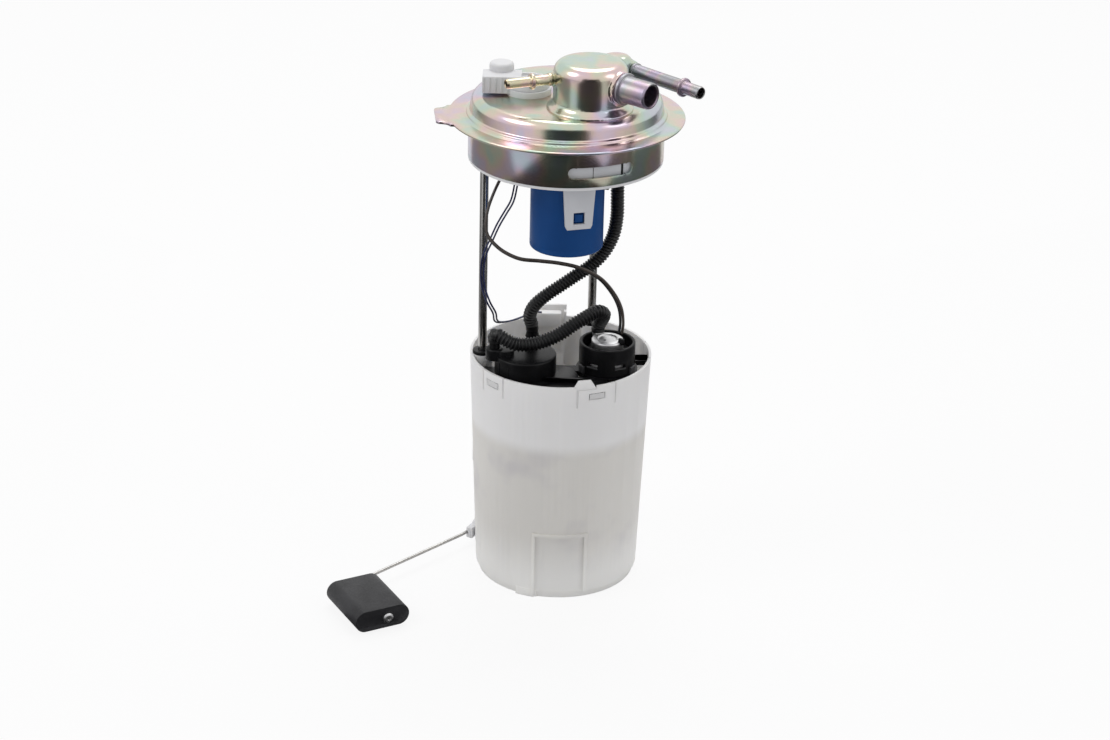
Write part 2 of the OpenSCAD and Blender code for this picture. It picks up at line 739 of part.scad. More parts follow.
// Closed housing of the pressure filter, with a ribbed lid.
module filter_housing() {
    color("dimgray") translate([filter_x, filter_y, 0]) difference() {
        union() {
            translate([0, 0, filter_z]) rounded_lip(filter_r, filter_h - 8);
            translate([0, 0, filter_top - 8 - cut]) rounded_disc(filter_r, 8 + cut, 2.5);
            translate([0, 0, plate_z + plate_t]) cylinder(r = filter_r + shoulder, h = 2);
        }
        translate([0, 0, filter_z + 2]) cylinder(r = filter_r - 2, h = filter_h - 5);
        translate([spigot_x - filter_x, spigot_y - filter_y, filter_top - 8])
            cylinder(r = 3.8, h = 12);
        translate([elbow_x + 6 - filter_x, elbow_y - filter_y, filter_top - 8])
            cylinder(r = 3.5, h = 12);
    }
}

module filter_element() {
    color("wheat") translate([filter_x, filter_y, filter_z + 2.3])
        difference() {
            union() {
                cylinder(r = filter_r - 5, h = filter_h - 16);
                for (k = [0:23]) rotate([0, 0, 15 * k]) translate([filter_r - 6, -0.6, 0])
                    cube([3.4, 1.2, filter_h - 16]);
            }
            translate([0, 0, -cut]) cylinder(r = 5, h = filter_h);
        }
}

// Elbow where the pump's hose enters the filter housing.
module hose_elbow() {
    z = filter_top;
    color("black") difference() {
        union() {
            translate([elbow_x + 6, elbow_y, z - 8]) cylinder(r = 3.5, h = 8);
            translate([elbow_x + 6, elbow_y, z]) cylinder(r = 5.4, h = 7);
            translate([elbow_x, elbow_y, z + 1]) rounded_disc(5.2, 7, 1.5);
            translate([elbow_x, elbow_y, z + 8]) cylinder(r = 3.1, h = 155 - z - 8);
            translate([elbow_x, elbow_y - 4, z + 1]) cube([6, 8, 6]);
        }
        translate([elbow_x, elbow_y, z + 4]) cylinder(r = 1.8, h = 30);
        translate([elbow_x + 6, elbow_y, z - 9]) cylinder(r = 1.8, h = 13);
    }
}

module hose_spigot() {
    z = filter_top;
    color("black") translate([spigot_x, spigot_y, 0]) difference() {
        union() {
            translate([0, 0, z - 8]) cylinder(r = 3.8, h = 8);
            translate([0, 0, z]) cylinder(r = 5.6, h = 3);
            translate([0, 0, z + 3]) cylinder(r = 3.4, h = 157 - z - 3);
            for (k = [0:1]) translate([0, 0, z + 5 + 4 * k]) cylinder(r1 = 4.1, r2 = 3.4, h = 3);
        }
        translate([0, 0, z - 9]) cylinder(r = 1.8, h = 40);
    }
}

// Cap over the pump: an open cup with slots in its rim.
module pump_cap() {
    color("dimgray") translate([pump_x, pump_y, cap_z - cap_h]) difference() {
        union() {
            cylinder(r = cap_r, h = cap_h);
            for (k = [0:2]) rotate([0, 0, 90 + 120 * k]) translate([cap_r - 1.5, -3, plate_t])
                cube([2.4, 6, 6]);
        }
        translate([0, 0, -cut]) cylinder(r = can_r, h = cap_h - 9 + cut);
        translate([0, 0, cap_h - 8]) cylinder(r = cap_r - 2, h = 9);
        translate([0, 0, cap_h - 10]) cylinder(r = can_r - 0.6, h = 9);
        for (a = [-125, -60]) rotate([0, 0, a]) translate([cap_r - 4, -3.6, cap_h - 5])
            cube([6, 7.2, 2.6]);
    }
}

// Top plate of the pump: it closes the can and carries brushes and bearing.
module pump_end_plate() {
    color("dimgray") translate([pump_x, pump_y, can_top - end_plate_t]) difference() {
        union() {
            cylinder(r = can_r - can_wall, h = end_plate_t);
            translate([0, 0, end_plate_t]) cylinder(r = 9.6, h = 6);
            for (y = [-1, 1]) translate([7, y * 5 - 1.2, end_plate_t]) cube([2, 2.4, 10]);
        }
        translate([0, 0, -cut]) cylinder(r = shaft_r + shaft_clear, h = 6);
        translate([outlet_x - pump_x, outlet_y - pump_y, -cut]) cylinder(r = 2.4, h = 20);
    }
}

module pump_outlet() {
    z = can_top + 6;
    color("silver") translate([outlet_x, outlet_y, 0]) difference() {
        union() {
            translate([0, 0, can_top - end_plate_t + 0.2]) cylinder(r = 2.4, h = end_plate_t + 6);
            translate([0, 0, z]) cylinder(r = 3.2, h = 154 - z);
        }
        translate([0, 0, z - 30]) cylinder(r = 1.5, h = 60);
    }
}

module pump_can() {
    color("silver") translate([pump_x, pump_y, can_z])
        ring(can_r, can_r - can_wall, can_top - can_z);
}

module pump_magnets() {
    color("dimgray") translate([pump_x, pump_y, chamber_top + chamber_t + 6]) for (k = [0, 1])
        rotate([0, 0, 90 * k * 2]) difference() {
            ring(can_r - can_wall, armature_r + 0.6, 46);
            translate([-20, -40, -cut]) cube([40, 42.5, 60]);
        }
}

// Wound armature with skewed poles drawn straight, and its commutator.
module armature() {
    z = chamber_top + chamber_t + 8;
    color("peru") translate([pump_x, pump_y, z]) difference() {
        union() {
            cylinder(r = armature_r, h = 42);
            translate([0, 0, 42]) cylinder(r = 5.5, h = 12);
        }
        translate([0, 0, -cut]) cylinder(r = shaft_r, h = 60);
        for (k = [0:7]) rotate([0, 0, 45 * k]) translate([armature_r - 3, -0.9, -cut])
            cube([6, 1.8, 42 + cut]);
    }
}

module motor_shaft() {
    color("lightsteelblue") translate([pump_x, pump_y, pump_floor + 1.4])
        cylinder(r = shaft_r, h = can_top - end_plate_t + 4.4 - pump_floor - 1.4);
}

module impeller() {
    color("black") translate([pump_x, pump_y, impeller_z]) difference() {
        cylinder(r = impeller_r, h = impeller_t);
        translate([0, 0, -cut]) cylinder(r = shaft_r, h = 8);
        for (k = [0:23]) rotate([0, 0, 15 * k]) translate([impeller_r - 2.4, -0.5, -cut])
            cube([4, 1, 8]);
    }
}

// Plate between motor and impeller, with the lower bearing.
module pump_chamber_plate() {
    color("dimgray") translate([pump_x, pump_y, chamber_top]) difference() {
        cylinder(r = can_r - can_wall, h = chamber_t);
        translate([0, 0, -cut]) cylinder(r = shaft_r + shaft_clear, h = 10);
        translate([8, 0, -cut]) cylinder(r = 1.6, h = 10);
    }
}

module pump_inlet_cover() {
    color("dimgray") translate([pump_x, pump_y, 0]) difference() {
        union() {
            translate([0, 0, pump_floor]) cylinder(r = can_r - can_wall, h = chamber_top - pump_floor);
            translate([0, 0, can_z - 4]) cylinder(r = can_r - can_wall, h = pump_floor - can_z + 4);
            translate([-7, 0, strainer_z + 8]) cylinder(r = 4.4, h = can_z - strainer_z - 11);
        }
        translate([0, 0, impeller_z - fit]) cylinder(r = impeller_r + fit, h = 20);
        translate([0, 0, pump_floor + 1]) cylinder(r = shaft_r + shaft_clear, h = 20);
        translate([-7, 0, strainer_z]) cylinder(r = 2.6, h = 60);
    }
}

// Flat strainer sock on the reservoir's floor, under the pump's inlet.
module inlet_strainer() {
    color("gainsboro") translate([pump_x - 7, pump_y, strainer_z]) difference() {
        union() {
            translate([-3, 0, 0]) slot(36, 18, 5);
            cylinder(r = 6, h = 8);
        }
        translate([0, 0, 3]) cylinder(r = 2.6, h = 8);
    }
}

// Umbrella valve that lets fuel in through the reservoir's floor.
module foot_valve() {
    color("black") union() {
        translate([0, 0, 1.4]) cylinder(r = 8.7, h = inside_z - 2.9);
        translate([0, 0, inside_z]) cylinder(r1 = 11, r2 = 8, h = 1.6);
        translate([0, 0, 1.6]) cylinder(r = 3, h = inside_z);
    }
}

// Bracket on the side wall that carries the sender's card and pivot.
module sender_bracket() {
    color("whitesmoke") {
        rotate([0, 0, sender_a]) translate([sender_r, -9, 4]) cube([1.6, 18, 34]);
        at_pivot(sender_r + 1) cylinder(r = pin_r, h = holder_out - sender_r - 0.7);
        at_pivot(holder_out + 0.2) cylinder(r = pin_r + 0.8, h = 0.8);
    }
}

module resistor_card() {
    color("tan") rotate([0, 0, sender_a]) translate([sender_r + 1.6, -8, 18]) cube([1, 16, 16]);
}

// Turning holder that grips the float's wire; it swings on the bracket's pin.
module arm_holder() {
    color("ivory") difference() {
        union() {
            at_pivot(holder_in) cylinder(r = 5, h = holder_t);
            rotate([0, 0, sender_a]) translate([holder_in, 0.5, pivot_z - 3.4])
                cube([holder_t, 10, 6.8]);
            rotate([0, 0, sender_a]) translate([holder_in, -2.5, pivot_z]) cube([1.4, 5, 14]);
        }
        at_pivot(holder_in - 1) cylinder(r = pin_r + shaft_clear, h = 9);
        rotate([0, 0, sender_a]) translate([holder_out, 2.7, pivot_z]) rotate([-90, 0, 0])
            cylinder(r = wire_r, h = 20);
    }
}

// Bent wire from the holder to the float.
module float_wire() {
    knee = pivot_point(holder_out, 12);
    heel = bore_point(-25);
    start = pivot_point(holder_out, 2.7);
    tip = bore_point(float_l / 2 + 1.6);
    color("silver") tube_along(concat([start], corner_points(start, knee, heel, 4),
        corner_points(knee, heel, tip, 4), [tip]), wire_r, 12, [0, 0, 1]);
}

function pivot_point(r, along) = [r * cos(sender_a) - along * cos(sender_a - 90),
    r * sin(sender_a) - along * sin(sender_a - 90), pivot_z];
function bore_point(t) = float_c + [t * cos(float_turn) - bore_shift * sin(float_turn),
    t * sin(float_turn) + bore_shift * cos(float_turn), 0];

// Closed-cell float: an oblong block with round sides and a cross bore.
module fuel_float() {
    color("black") translate(float_c) rotate([0, 0, float_turn]) difference() {
        union() {
            for (y = [-1, 1]) translate([-float_l / 2, y * (float_w - float_t) / 2, 0])
                rotate([0, 90, 0]) cylinder(d = float_t, h = float_l);
            translate([-float_l / 2, -(float_w - float_t) / 2, -float_t / 2])
                cube([float_l, float_w - float_t, float_t]);
            translate([float_l / 2, bore_shift, 0]) rotate([0, 90, 0]) cylinder(r = 4, h = 1);
        }
        translate([-float_l, bore_shift, 0]) rotate([0, 90, 0]) cylinder(r = wire_r, h = 2 * float_l);
    }
}

module float_push_nut() {
    color("silver") translate(float_c) rotate([0, 0, float_turn])
        translate([float_l / 2 + 1, bore_shift, 0]) rotate([0, 90, 0]) difference() {
            cylinder(r1 = 3.2, r2 = 2.2, h = 1);
            translate([0, 0, -cut]) cylinder(r = wire_r, h = 4);
        }
}

// Two-way connector of the sender's leads, clipped to the rear tab.
module sender_connector() {
    color("whitesmoke") difference() {
        translate([-15, 40.5, rim_z - 3]) cube([14, 7, 9.6]);
        side_ring_gap();
        for (x = [-10.5, -6.5]) translate([x, 39.5, rim_z + 2]) rotate([-90, 0, 0]) cylinder(r = 1, h = 4);
    }
}

module side_ring_gap() {
    ring(rim_r + 6, rim_r - 2.7, 220);
}

module upper_hose() {
    color("black") swept_tube(upper_route, upper_r, 24, 12);
}

module lower_hose() {
    color("black") swept_tube(lower_route, lower_r, 22, 12);
}

module pump_leads() {
    color("black") for (s = [-1, 1])
        swept_tube(pump_lead_route, pump_lead_d / 2, 50, 8, [0, s * (pump_lead_d / 2 + 0.1)]);
}

module sender_leads() {
    color("darkblue") for (s = [-1, 1])
        swept_tube(sender_lead_route, sender_lead_d / 2, 50, 8, [s * (sender_lead_d / 2 + 0.5), 0]);
}

cover_plate();
skirt_ring();
port_dome();
filler_vent_tube();
feed_tube();
return_tube();
connector_body();
connector_pins();
connector_seal();
valve_carrier();
vent_valve_body();
vent_valve_nipple();
vent_valve_cap();
vent_valve_float();
guide_rods();
rod_clips();
cover_hose_barb();
reservoir();
rod_bushes();
guide_springs();
pump_carrier();
filter_housing();
filter_element();
hose_elbow();
hose_spigot();
pump_cap();
pump_end_plate();
pump_outlet();
pump_can();
pump_magnets();
armature();
motor_shaft();
impeller();
pump_chamber_plate();
pump_inlet_cover();
inlet_strainer();
foot_valve();
sender_bracket();
resistor_card();
arm_holder();
float_wire();
fuel_float();
float_push_nut();
sender_connector();
upper_hose();
lower_hose();
pump_leads();
sender_leads();
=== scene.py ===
"""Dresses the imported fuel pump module: pressed cover, tubes, hoses, leads, reservoir and studio.

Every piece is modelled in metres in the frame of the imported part. Sizes are written in
millimetres, as on a drawing, and scaled once by MM.
"""

import json
import logging
from collections.abc import Iterator
from contextlib import contextmanager
from dataclasses import dataclass
from enum import Enum
from math import copysign, cos, dist, pi, radians, sin, sqrt, tan

import bpy
from mathutils import Matrix, Vector


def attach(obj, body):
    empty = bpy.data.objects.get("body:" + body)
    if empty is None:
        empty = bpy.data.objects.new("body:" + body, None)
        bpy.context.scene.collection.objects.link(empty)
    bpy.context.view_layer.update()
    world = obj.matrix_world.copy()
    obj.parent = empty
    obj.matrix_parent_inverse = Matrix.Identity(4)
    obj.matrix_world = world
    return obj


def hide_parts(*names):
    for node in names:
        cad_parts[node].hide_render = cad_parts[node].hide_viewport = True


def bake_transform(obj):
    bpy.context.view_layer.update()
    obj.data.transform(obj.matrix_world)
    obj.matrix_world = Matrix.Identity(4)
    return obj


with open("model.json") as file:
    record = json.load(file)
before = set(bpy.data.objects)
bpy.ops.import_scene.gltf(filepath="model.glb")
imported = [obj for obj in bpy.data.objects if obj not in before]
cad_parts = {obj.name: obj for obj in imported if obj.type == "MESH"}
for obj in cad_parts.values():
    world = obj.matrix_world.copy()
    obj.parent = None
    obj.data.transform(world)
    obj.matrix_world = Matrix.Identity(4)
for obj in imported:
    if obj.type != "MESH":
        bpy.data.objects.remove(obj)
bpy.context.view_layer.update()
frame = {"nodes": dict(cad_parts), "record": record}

LOG = logging.getLogger("fuel_module")
MM = 0.001
# Vertices closer than these gaps are merged
DOUBLE_GAP = 0.004 * MM
SPIN_GAP = 0.002 * MM
# Angles in degrees: below the first, faces count as flat, and from the second, an edge is rounded
FLAT_ANGLE = 0.4
SHARP_ANGLE = 32
# Segments of a fillet in a profile, and samples along a smoothed route
FILLET_STEPS = 6
CURVE_SAMPLES = 2000
# The Mix node's sockets in its colour mode
MIX_SHARE, MIX_FIRST, MIX_SECOND, MIX_RESULT = 0, 6, 7, 2
Pair = tuple[float, float]
Point = tuple[float, float, float]
Colour = tuple[float, float, float]
Bend = tuple[Point, Point]
Obj = bpy.types.Object
Node = bpy.types.Node
Material = bpy.types.Material
Output = tuple[Node, str | int]


class Body(str, Enum):
    """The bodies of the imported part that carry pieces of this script."""

    COVER = "cover"
    RESERVOIR = "reservoir"
    FLOAT_ARM = "float_arm"


class Slot(str, Enum):
    """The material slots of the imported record."""

    ZINC = "zinc_steel"
    GOLD = "gold_steel"
    STAINLESS = "stainless"
    NYLON = "white_nylon"
    RESIN = "natural_resin"
    BLACK = "black_acetal"
    GREY = "grey_acetal"
    BLUE = "blue_acetal"
    HOSE = "hose_nylon"
    LEAD = "lead_jacket"
    SENDER_LEAD = "sender_jacket"
    SEAL = "seal_rubber"
    FOAM = "float_foam"
    BRASS = "brass"
    PUMP_STEEL = "pump_steel"
    MAGNET = "magnet"
    COPPER = "copper"
    PAPER = "filter_paper"
    CLOTH = "strainer_cloth"
    CERAMIC = "ceramic"


# Mesh tools


def pick(obj: Obj) -> Obj:
    """Makes obj the only selected and the active object.

    Args:
        obj: The object that the next operator works on.

    Returns:
        The same object.
    """
    bpy.ops.object.select_all(action="DESELECT")
    obj.select_set(True)
    bpy.context.view_layer.objects.active = obj
    return obj


def modify(obj: Obj, kind: str, **settings: object) -> None:
    """Adds a modifier and applies it.

    Args:
        obj: The object that is changed.
        kind: The modifier's type.
        **settings: Its properties.
    """
    step = obj.modifiers.new(kind.lower(), kind)
    for key, value in settings.items():
        setattr(step, key, value)
    pick(obj)
    bpy.ops.object.modifier_apply(modifier=step.name)


def settle(obj: Obj) -> None:
    """Puts obj's place, turn and size into its mesh.

    Args:
        obj: The object that ends at the origin, unturned and unscaled.
    """
    pick(obj)
    bpy.ops.object.transform_apply(location=True, rotation=True, scale=True)


@contextmanager
def edit_mode(obj: Obj) -> Iterator[None]:
    """Opens obj for editing with everything selected, and leaves it with its faces outwards.

    Args:
        obj: The mesh to edit.

    Yields:
        Nothing, while obj is in edit mode.
    """
    pick(obj)
    bpy.ops.object.mode_set(mode="EDIT")
    bpy.ops.mesh.select_all(action="SELECT")
    yield
    bpy.ops.mesh.select_all(action="SELECT")
    bpy.ops.mesh.normals_make_consistent(inside=False)
    bpy.ops.object.mode_set(mode="OBJECT")


def tidy_mesh(obj: Obj, flat_angle: float = FLAT_ANGLE) -> None:
    """Merges doubled vertices and joins flat triangles.

    Args:
        obj: The mesh to tidy.
        flat_angle: The angle in degrees under which neighbouring faces count as flat.
    """
    with edit_mode(obj):
        bpy.ops.mesh.remove_doubles(threshold=DOUBLE_GAP)
        bpy.ops.mesh.dissolve_limited(angle_limit=radians(flat_angle))


def new_object(name: str, data: bpy.types.ID) -> Obj:
    """Links a new object to the scene and returns it.

    Args:
        name: The object's name.
        data: Its mesh, curve, lamp or camera.

    Returns:
        The new object.
    """
    obj = bpy.data.objects.new(name, data)
    bpy.context.scene.collection.objects.link(obj)
    return obj


def new_mesh(name: str, points: list[Point], edges: list[tuple[int, int]], faces: list[list[int]]) -> Obj:
    """Links a new mesh object to the scene and returns it.

    Args:
        name: The object's name.
        points: Its points, in metres.
        edges: The pairs of points that edges join.
        faces: The points of each face, in order.

    Returns:
        The new object.
    """
    mesh = bpy.data.meshes.new(name)
    mesh.from_pydata(points, edges, faces)
    return new_object(name, mesh)


def filleted(points: list[Point]) -> list[Pair]:
    """Rounds the corners of a profile.

    Args:
        points: Radius, height and fillet radius of each corner, in millimetres.

    Returns:
        The rounded profile as radius and height, in millimetres.
    """
    points = [p for i, p in enumerate(points) if i == 0 or dist(p[:2], points[i - 1][:2]) > 0.001]
    out: list[Pair] = []
    for i, (r, z, f) in enumerate(points):
        if f <= 0 or i in (0, len(points) - 1):
            out.append((r, z))
            continue
        b = Vector((r, z))
        a, c = Vector(points[i - 1][:2]) - b, Vector(points[i + 1][:2]) - b
        half = a.angle(c) / 2
        reach = min(f / tan(half), 0.49 * a.length, 0.49 * c.length)
        p, q = b + a.normalized() * reach, b + c.normalized() * reach
        pull = sqrt(0.5) if half > 0.6 else 0.5
        for k in range(FILLET_STEPS + 1):
            t = k / FILLET_STEPS
            w = pull * 2 * t * (1 - t)
            v = (p * (1 - t) ** 2 + b * w + q * t * t) / ((1 - t) ** 2 + w + t * t)
            out.append((v.x, v.y))
    return out


def lathe(name: str, corners: list[Point], steps: int = 96, closed: bool = False,
          at: Point = (0, 0, 0)) -> Obj:
    """Spins a profile with rounded corners once round the upright axis into one closed shell.

    Args:
        name: The new object's name.
        corners: Radius, height and fillet radius of each corner, in millimetres.
        steps: Segments round the axis.
        closed: Whether the profile's last point joins its first.
        at: Where the axis stands, in millimetres.

    Returns:
        The new object, with its place in its mesh.
    """
    profile = filleted(corners)
    n = len(profile)
    edges = [(i, i + 1) for i in range(n - 1)] + ([(n - 1, 0)] if closed else [])
    obj = new_mesh(name, [(r * MM, 0, z * MM) for r, z in profile], edges, [])
    with edit_mode(obj):
        bpy.ops.mesh.spin(steps=steps, angle=2 * pi, center=(0, 0, 0), axis=(0, 0, 1))
        bpy.ops.mesh.select_all(action="SELECT")
        bpy.ops.mesh.remove_doubles(threshold=SPIN_GAP)
    obj.location = Vector(at) * MM
    settle(obj)
    return obj


def slab(name: str, outline: list[Pair], low: float, high: float) -> Obj:
    """Raises an outline into a flat plate.

    Args:
        name: The new object's name.
        outline: Its corners, in millimetres.
        low: The height of its lower face, in millimetres.
        high: The height of its upper face, in millimetres.

    Returns:
        The new object.
    """
    obj = new_mesh(name, [(x * MM, y * MM, low * MM) for x, y in outline], [], [list(range(len(outline)))])
    with edit_mode(obj):
        bpy.ops.mesh.extrude_region_move(TRANSFORM_OT_translate={"value": (0, 0, (high - low) * MM)})
    return obj


def cylinder(name: str, r: float, h: float, at: Point, sides: int = 48, top: float | None = None,
             bevel: float = 0.0) -> Obj:
    """Adds an upright cylinder or cone that stands on a point, with its end edges bevelled.

    Args:
        name: The new object's name.
        r: Its radius at the foot, in millimetres.
        h: Its height, in millimetres.
        at: The middle of its foot, in millimetres.
        sides: Segments round it.
        top: Its radius at the top, where it differs.
        bevel: The bevel of its end edges, in millimetres.

    Returns:
        The new object.
    """
    bpy.ops.object.select_all(action="DESELECT")
    bpy.ops.mesh.primitive_cone_add(vertices=sides, radius1=r * MM, radius2=(r if top is None else top) * MM,
                                    depth=h * MM, location=Vector((at[0], at[1], at[2] + h / 2)) * MM)
    obj = bpy.context.active_object
    obj.name = name
    if bevel:
        soften(obj, bevel, 3, 40)
    return obj


def box(name: str, low: Point, high: Point, bevel: float = 0.3, turn: float = 0.0,
        about: Point = (0, 0, 0)) -> Obj:
    """Adds a block between two corners, with its edges bevelled, turned about an upright axis.

    Args:
        name: The new object's name.
        low: The lowest corner, in millimetres.
        high: The highest corner, in millimetres.
        bevel: The bevel of its edges, in millimetres.
        turn: The turn in degrees.
        about: The point that the corners are measured from and turned about.

    Returns:
        The new object.
    """
    bpy.ops.object.select_all(action="DESELECT")
    bpy.ops.mesh.primitive_cube_add(size=1)
    obj = bpy.context.active_object
    obj.name = name
    a, b = Vector(low), Vector(high)
    obj.data.transform(Matrix.Translation((a + b) / 2 * MM) @ Matrix.Diagonal((*((b - a) * MM), 1)))
    if bevel:
        soften(obj, bevel, 2, 30)
    obj.data.transform(Matrix.Translation(Vector(about) * MM) @ Matrix.Rotation(radians(turn), 4, "Z"))
    return obj


def aim(obj: Obj, matrix: Matrix) -> Obj:
    """Settles an upright mesh and moves it to where it belongs.

    Args:
        obj: The mesh, modelled at the origin.
        matrix: Its place and direction.

    Returns:
        The same object.
    """
    settle(obj)
    obj.data.transform(matrix)
    return obj


def soften(obj: Obj, width: float, segments: int = 2, angle: float = 30) -> None:
    """Bevels the sharp edges of a mesh.

    Args:
        obj: The mesh.
        width: The bevel's width, in millimetres.
        segments: Its segments.
        angle: The angle in degrees from which an edge is sharp.
    """
    modify(obj, "BEVEL", width=width * MM, segments=segments, limit_method="ANGLE",
           angle_limit=radians(angle))


def merge(objs: list[Obj], name: str) -> Obj:
    """Joins several meshes into one object.

    Args:
        objs: The meshes to join.
        name: The name of the result.

    Returns:
        The joined object.
    """
    for obj in objs:
        settle(obj)
    bpy.ops.object.select_all(action="DESELECT")
    for obj in objs:
        obj.select_set(True)
    bpy.context.view_layer.objects.active = objs[0]
    bpy.ops.object.join()
    objs[0].name = name
    return objs[0]


def weld(base: Obj, other: Obj, how: str = "UNION") -> Obj:
    """Unites base with another mesh, or cuts it out of base, and removes the other.

    Args:
        base: The mesh that stays.
        other: The mesh that is used up.
        how: The boolean operation.

    Returns:
        The changed base.
    """
    modify(base, "BOOLEAN", operation=how, solver="EXACT", object=other)
    bpy.data.objects.remove(other)
    return base


def flow(obj: Obj, voxel: float, rounds: int) -> Obj:
    """Melts overlapping forms into one skin with soft inner corners.

    Args:
        obj: The joined forms.
        voxel: The size of the new skin's faces, in millimetres.
        rounds: How often the skin is smoothed.

    Returns:
        The same object.
    """
    modify(obj, "REMESH", mode="VOXEL", voxel_size=voxel * MM)
    modify(obj, "SMOOTH", factor=0.5, iterations=rounds)
    return obj


def smooth_point(route: list[Point], t: float) -> Vector:
    """A point of the smooth curve through a route's points.

    Args:
        route: The points, in millimetres.
        t: The place along the route, from 0 to 1.

    Returns:
        The point, in millimetres.
    """
    n = len(route)
    s = t * (n - 1)
    i = min(int(s), n - 2)
    u = s - i
    a, b, c, d = (Vector(route[k]) for k in (max(i - 1, 0), i, i + 1, min(i + 2, n - 1)))
    return 0.5 * (2 * b + (c - a) * u + (2 * a - 5 * b + 4 * c - d) * u * u
                  + (3 * b - a - 3 * c + d) * u * u * u)


def even_points(route: list[Point], spacing: float) -> list[Vector]:
    """Points at even distances along a smoothed route.

    Args:
        route: The route's own points, in millimetres.
        spacing: The distance from point to point, in millimetres.

    Returns:
        The points, in millimetres, both ends included.
    """
    fine = [smooth_point(route, k / CURVE_SAMPLES) for k in range(CURVE_SAMPLES + 1)]
    along = [0.0]
    for a, b in zip(fine, fine[1:]):
        along.append(along[-1] + (b - a).length)
    count = max(2, round(along[-1] / spacing))
    out, k = [], 0
    for i in range(count + 1):
        want = along[-1] * i / count
        while k < len(along) - 2 and along[k + 1] < want:
            k += 1
        share = (want - along[k]) / max(along[k + 1] - along[k], 1e-9)
        out.append(fine[k].lerp(fine[k + 1], min(1.0, share)))
    return out


def route_length(points: list[Vector]) -> float:
    """The length of a line of points, in millimetres."""
    return sum((b - a).length for a, b in zip(points, points[1:]))


def tube(name: str, points: list[Vector], radii: list[float], sides: int = 16) -> Obj:
    """Sweeps a round section along points, with a radius at each, into a closed mesh.

    Args:
        name: The new object's name.
        points: The centre line, in millimetres.
        radii: The radius at each point, in millimetres.
        sides: Segments round the tube.

    Returns:
        The new mesh object.
    """
    line = bpy.data.curves.new(name, "CURVE")
    line.dimensions = "3D"
    line.bevel_depth = MM
    line.bevel_resolution = max(0, sides // 4 - 1)
    line.use_fill_caps = True
    line.twist_mode = "MINIMUM"
    spline = line.splines.new("POLY")
    spline.points.add(len(points) - 1)
    for p, middle, r in zip(spline.points, points, radii):
        p.co = (*(middle * MM), 1)
        p.radius = r
    obj = pick(new_object(name, line))
    bpy.ops.object.convert(target="MESH")
    obj = bpy.context.active_object
    tidy_mesh(obj, 0.01)
    return obj


# Node groups and finishes


class Sheet:
    """A node tree with short calls to add, feed and link nodes."""

    def __init__(self, tree: bpy.types.NodeTree) -> None:
        """Starts on a tree, with its nodes cleared."""
        self.tree = tree
        tree.nodes.clear()

    def feed(self, value: object, socket: bpy.types.NodeSocket) -> None:
        """Links an output to an input, or gives the input a value.

        Args:
            value: A node with the key of its output, or the plain value.
            socket: The input.
        """
        if isinstance(value, tuple) and isinstance(value[0], Node):
            self.tree.links.new(value[0].outputs[value[1]], socket)
        else:
            socket.default_value = value

    def add(self, kind: str, *values: object, **settings: object) -> Node:
        """Adds a node.

        Args:
            kind: The node's type name, without ShaderNode.
            *values: What feeds its first inputs, in order.
            **settings: Its properties, or what feeds its inputs, by name with spaces as underscores.

        Returns:
            The node.
        """
        node = self.tree.nodes.new(kind if kind.startswith("Node") else "ShaderNode" + kind)
        for socket, value in zip(node.inputs, values):
            self.feed(value, socket)
        for key, value in settings.items():
            socket = node.inputs.get(key.replace("_", " "))
            if socket is None:
                setattr(node, key, value)
            else:
                self.feed(value, socket)
        return node

    def mix(self, share: Output, first: Output | Colour, second: Output | Colour) -> Output:
        """Mixes two colours.

        Args:
            share: The output that says how much of the second colour shows.
            first: The first colour, or the output that gives it.
            second: The second colour, or the output that gives it.

        Returns:
            The output with the mixed colour.
        """
        node = self.add("Mix", data_type="RGBA")
        for key, value in ((MIX_SHARE, share), (MIX_FIRST, first), (MIX_SECOND, second)):
            self.feed(value if isinstance(value[0], Node) else (*value, 1), node.inputs[key])
        return node, MIX_RESULT


def new_group(name: str, inputs: dict[str, float], outputs: tuple[str, ...]) -> tuple[Sheet, Node]:
    """Starts a shader node group with named sockets, all of them plain numbers.

    Args:
        name: The group's name.
        inputs: Each input's default value.
        outputs: The names of its outputs.

    Returns:
        The group's sheet and its input node.
    """
    tree = bpy.data.node_groups.new(name, "ShaderNodeTree")
    for key, value in inputs.items():
        socket = tree.interface.new_socket(key, in_out="INPUT", socket_type="NodeSocketFloat")
        socket.default_value = value
    for key in outputs:
        tree.interface.new_socket(key, in_out="OUTPUT", socket_type="NodeSocketFloat")
    sheet = Sheet(tree)
    return sheet, sheet.add("NodeGroupInput")


def new_material(name: str) -> tuple[Material, Sheet]:
    """Starts a material with an empty sheet.

    Args:
        name: The material's name.

    Returns:
        The material and its sheet.
    """
    material = bpy.data.materials.new(name)
    material.use_nodes = True
    return material, Sheet(material.node_tree)


def cloud_group() -> bpy.types.NodeTree:
    """Soft clouds over the object, as a mask from 0 to 1."""
    sheet, start = new_group("clouds", {"Scale": 40.0, "Low": 0.35, "High": 0.65}, ("Mask",))
    coords = sheet.add("TexCoord")
    noise = sheet.add("TexNoise", Detail=3.0, Roughness=0.55, Vector=(coords, "Object"),
                      Scale=(start, "Scale"))
    span = sheet.add("MapRange", interpolation_type="SMOOTHSTEP", Value=(noise, "Fac"),
                     From_Min=(start, "Low"), From_Max=(start, "High"))
    sheet.add("NodeGroupOutput", Mask=(span, "Result"))
    return sheet.tree


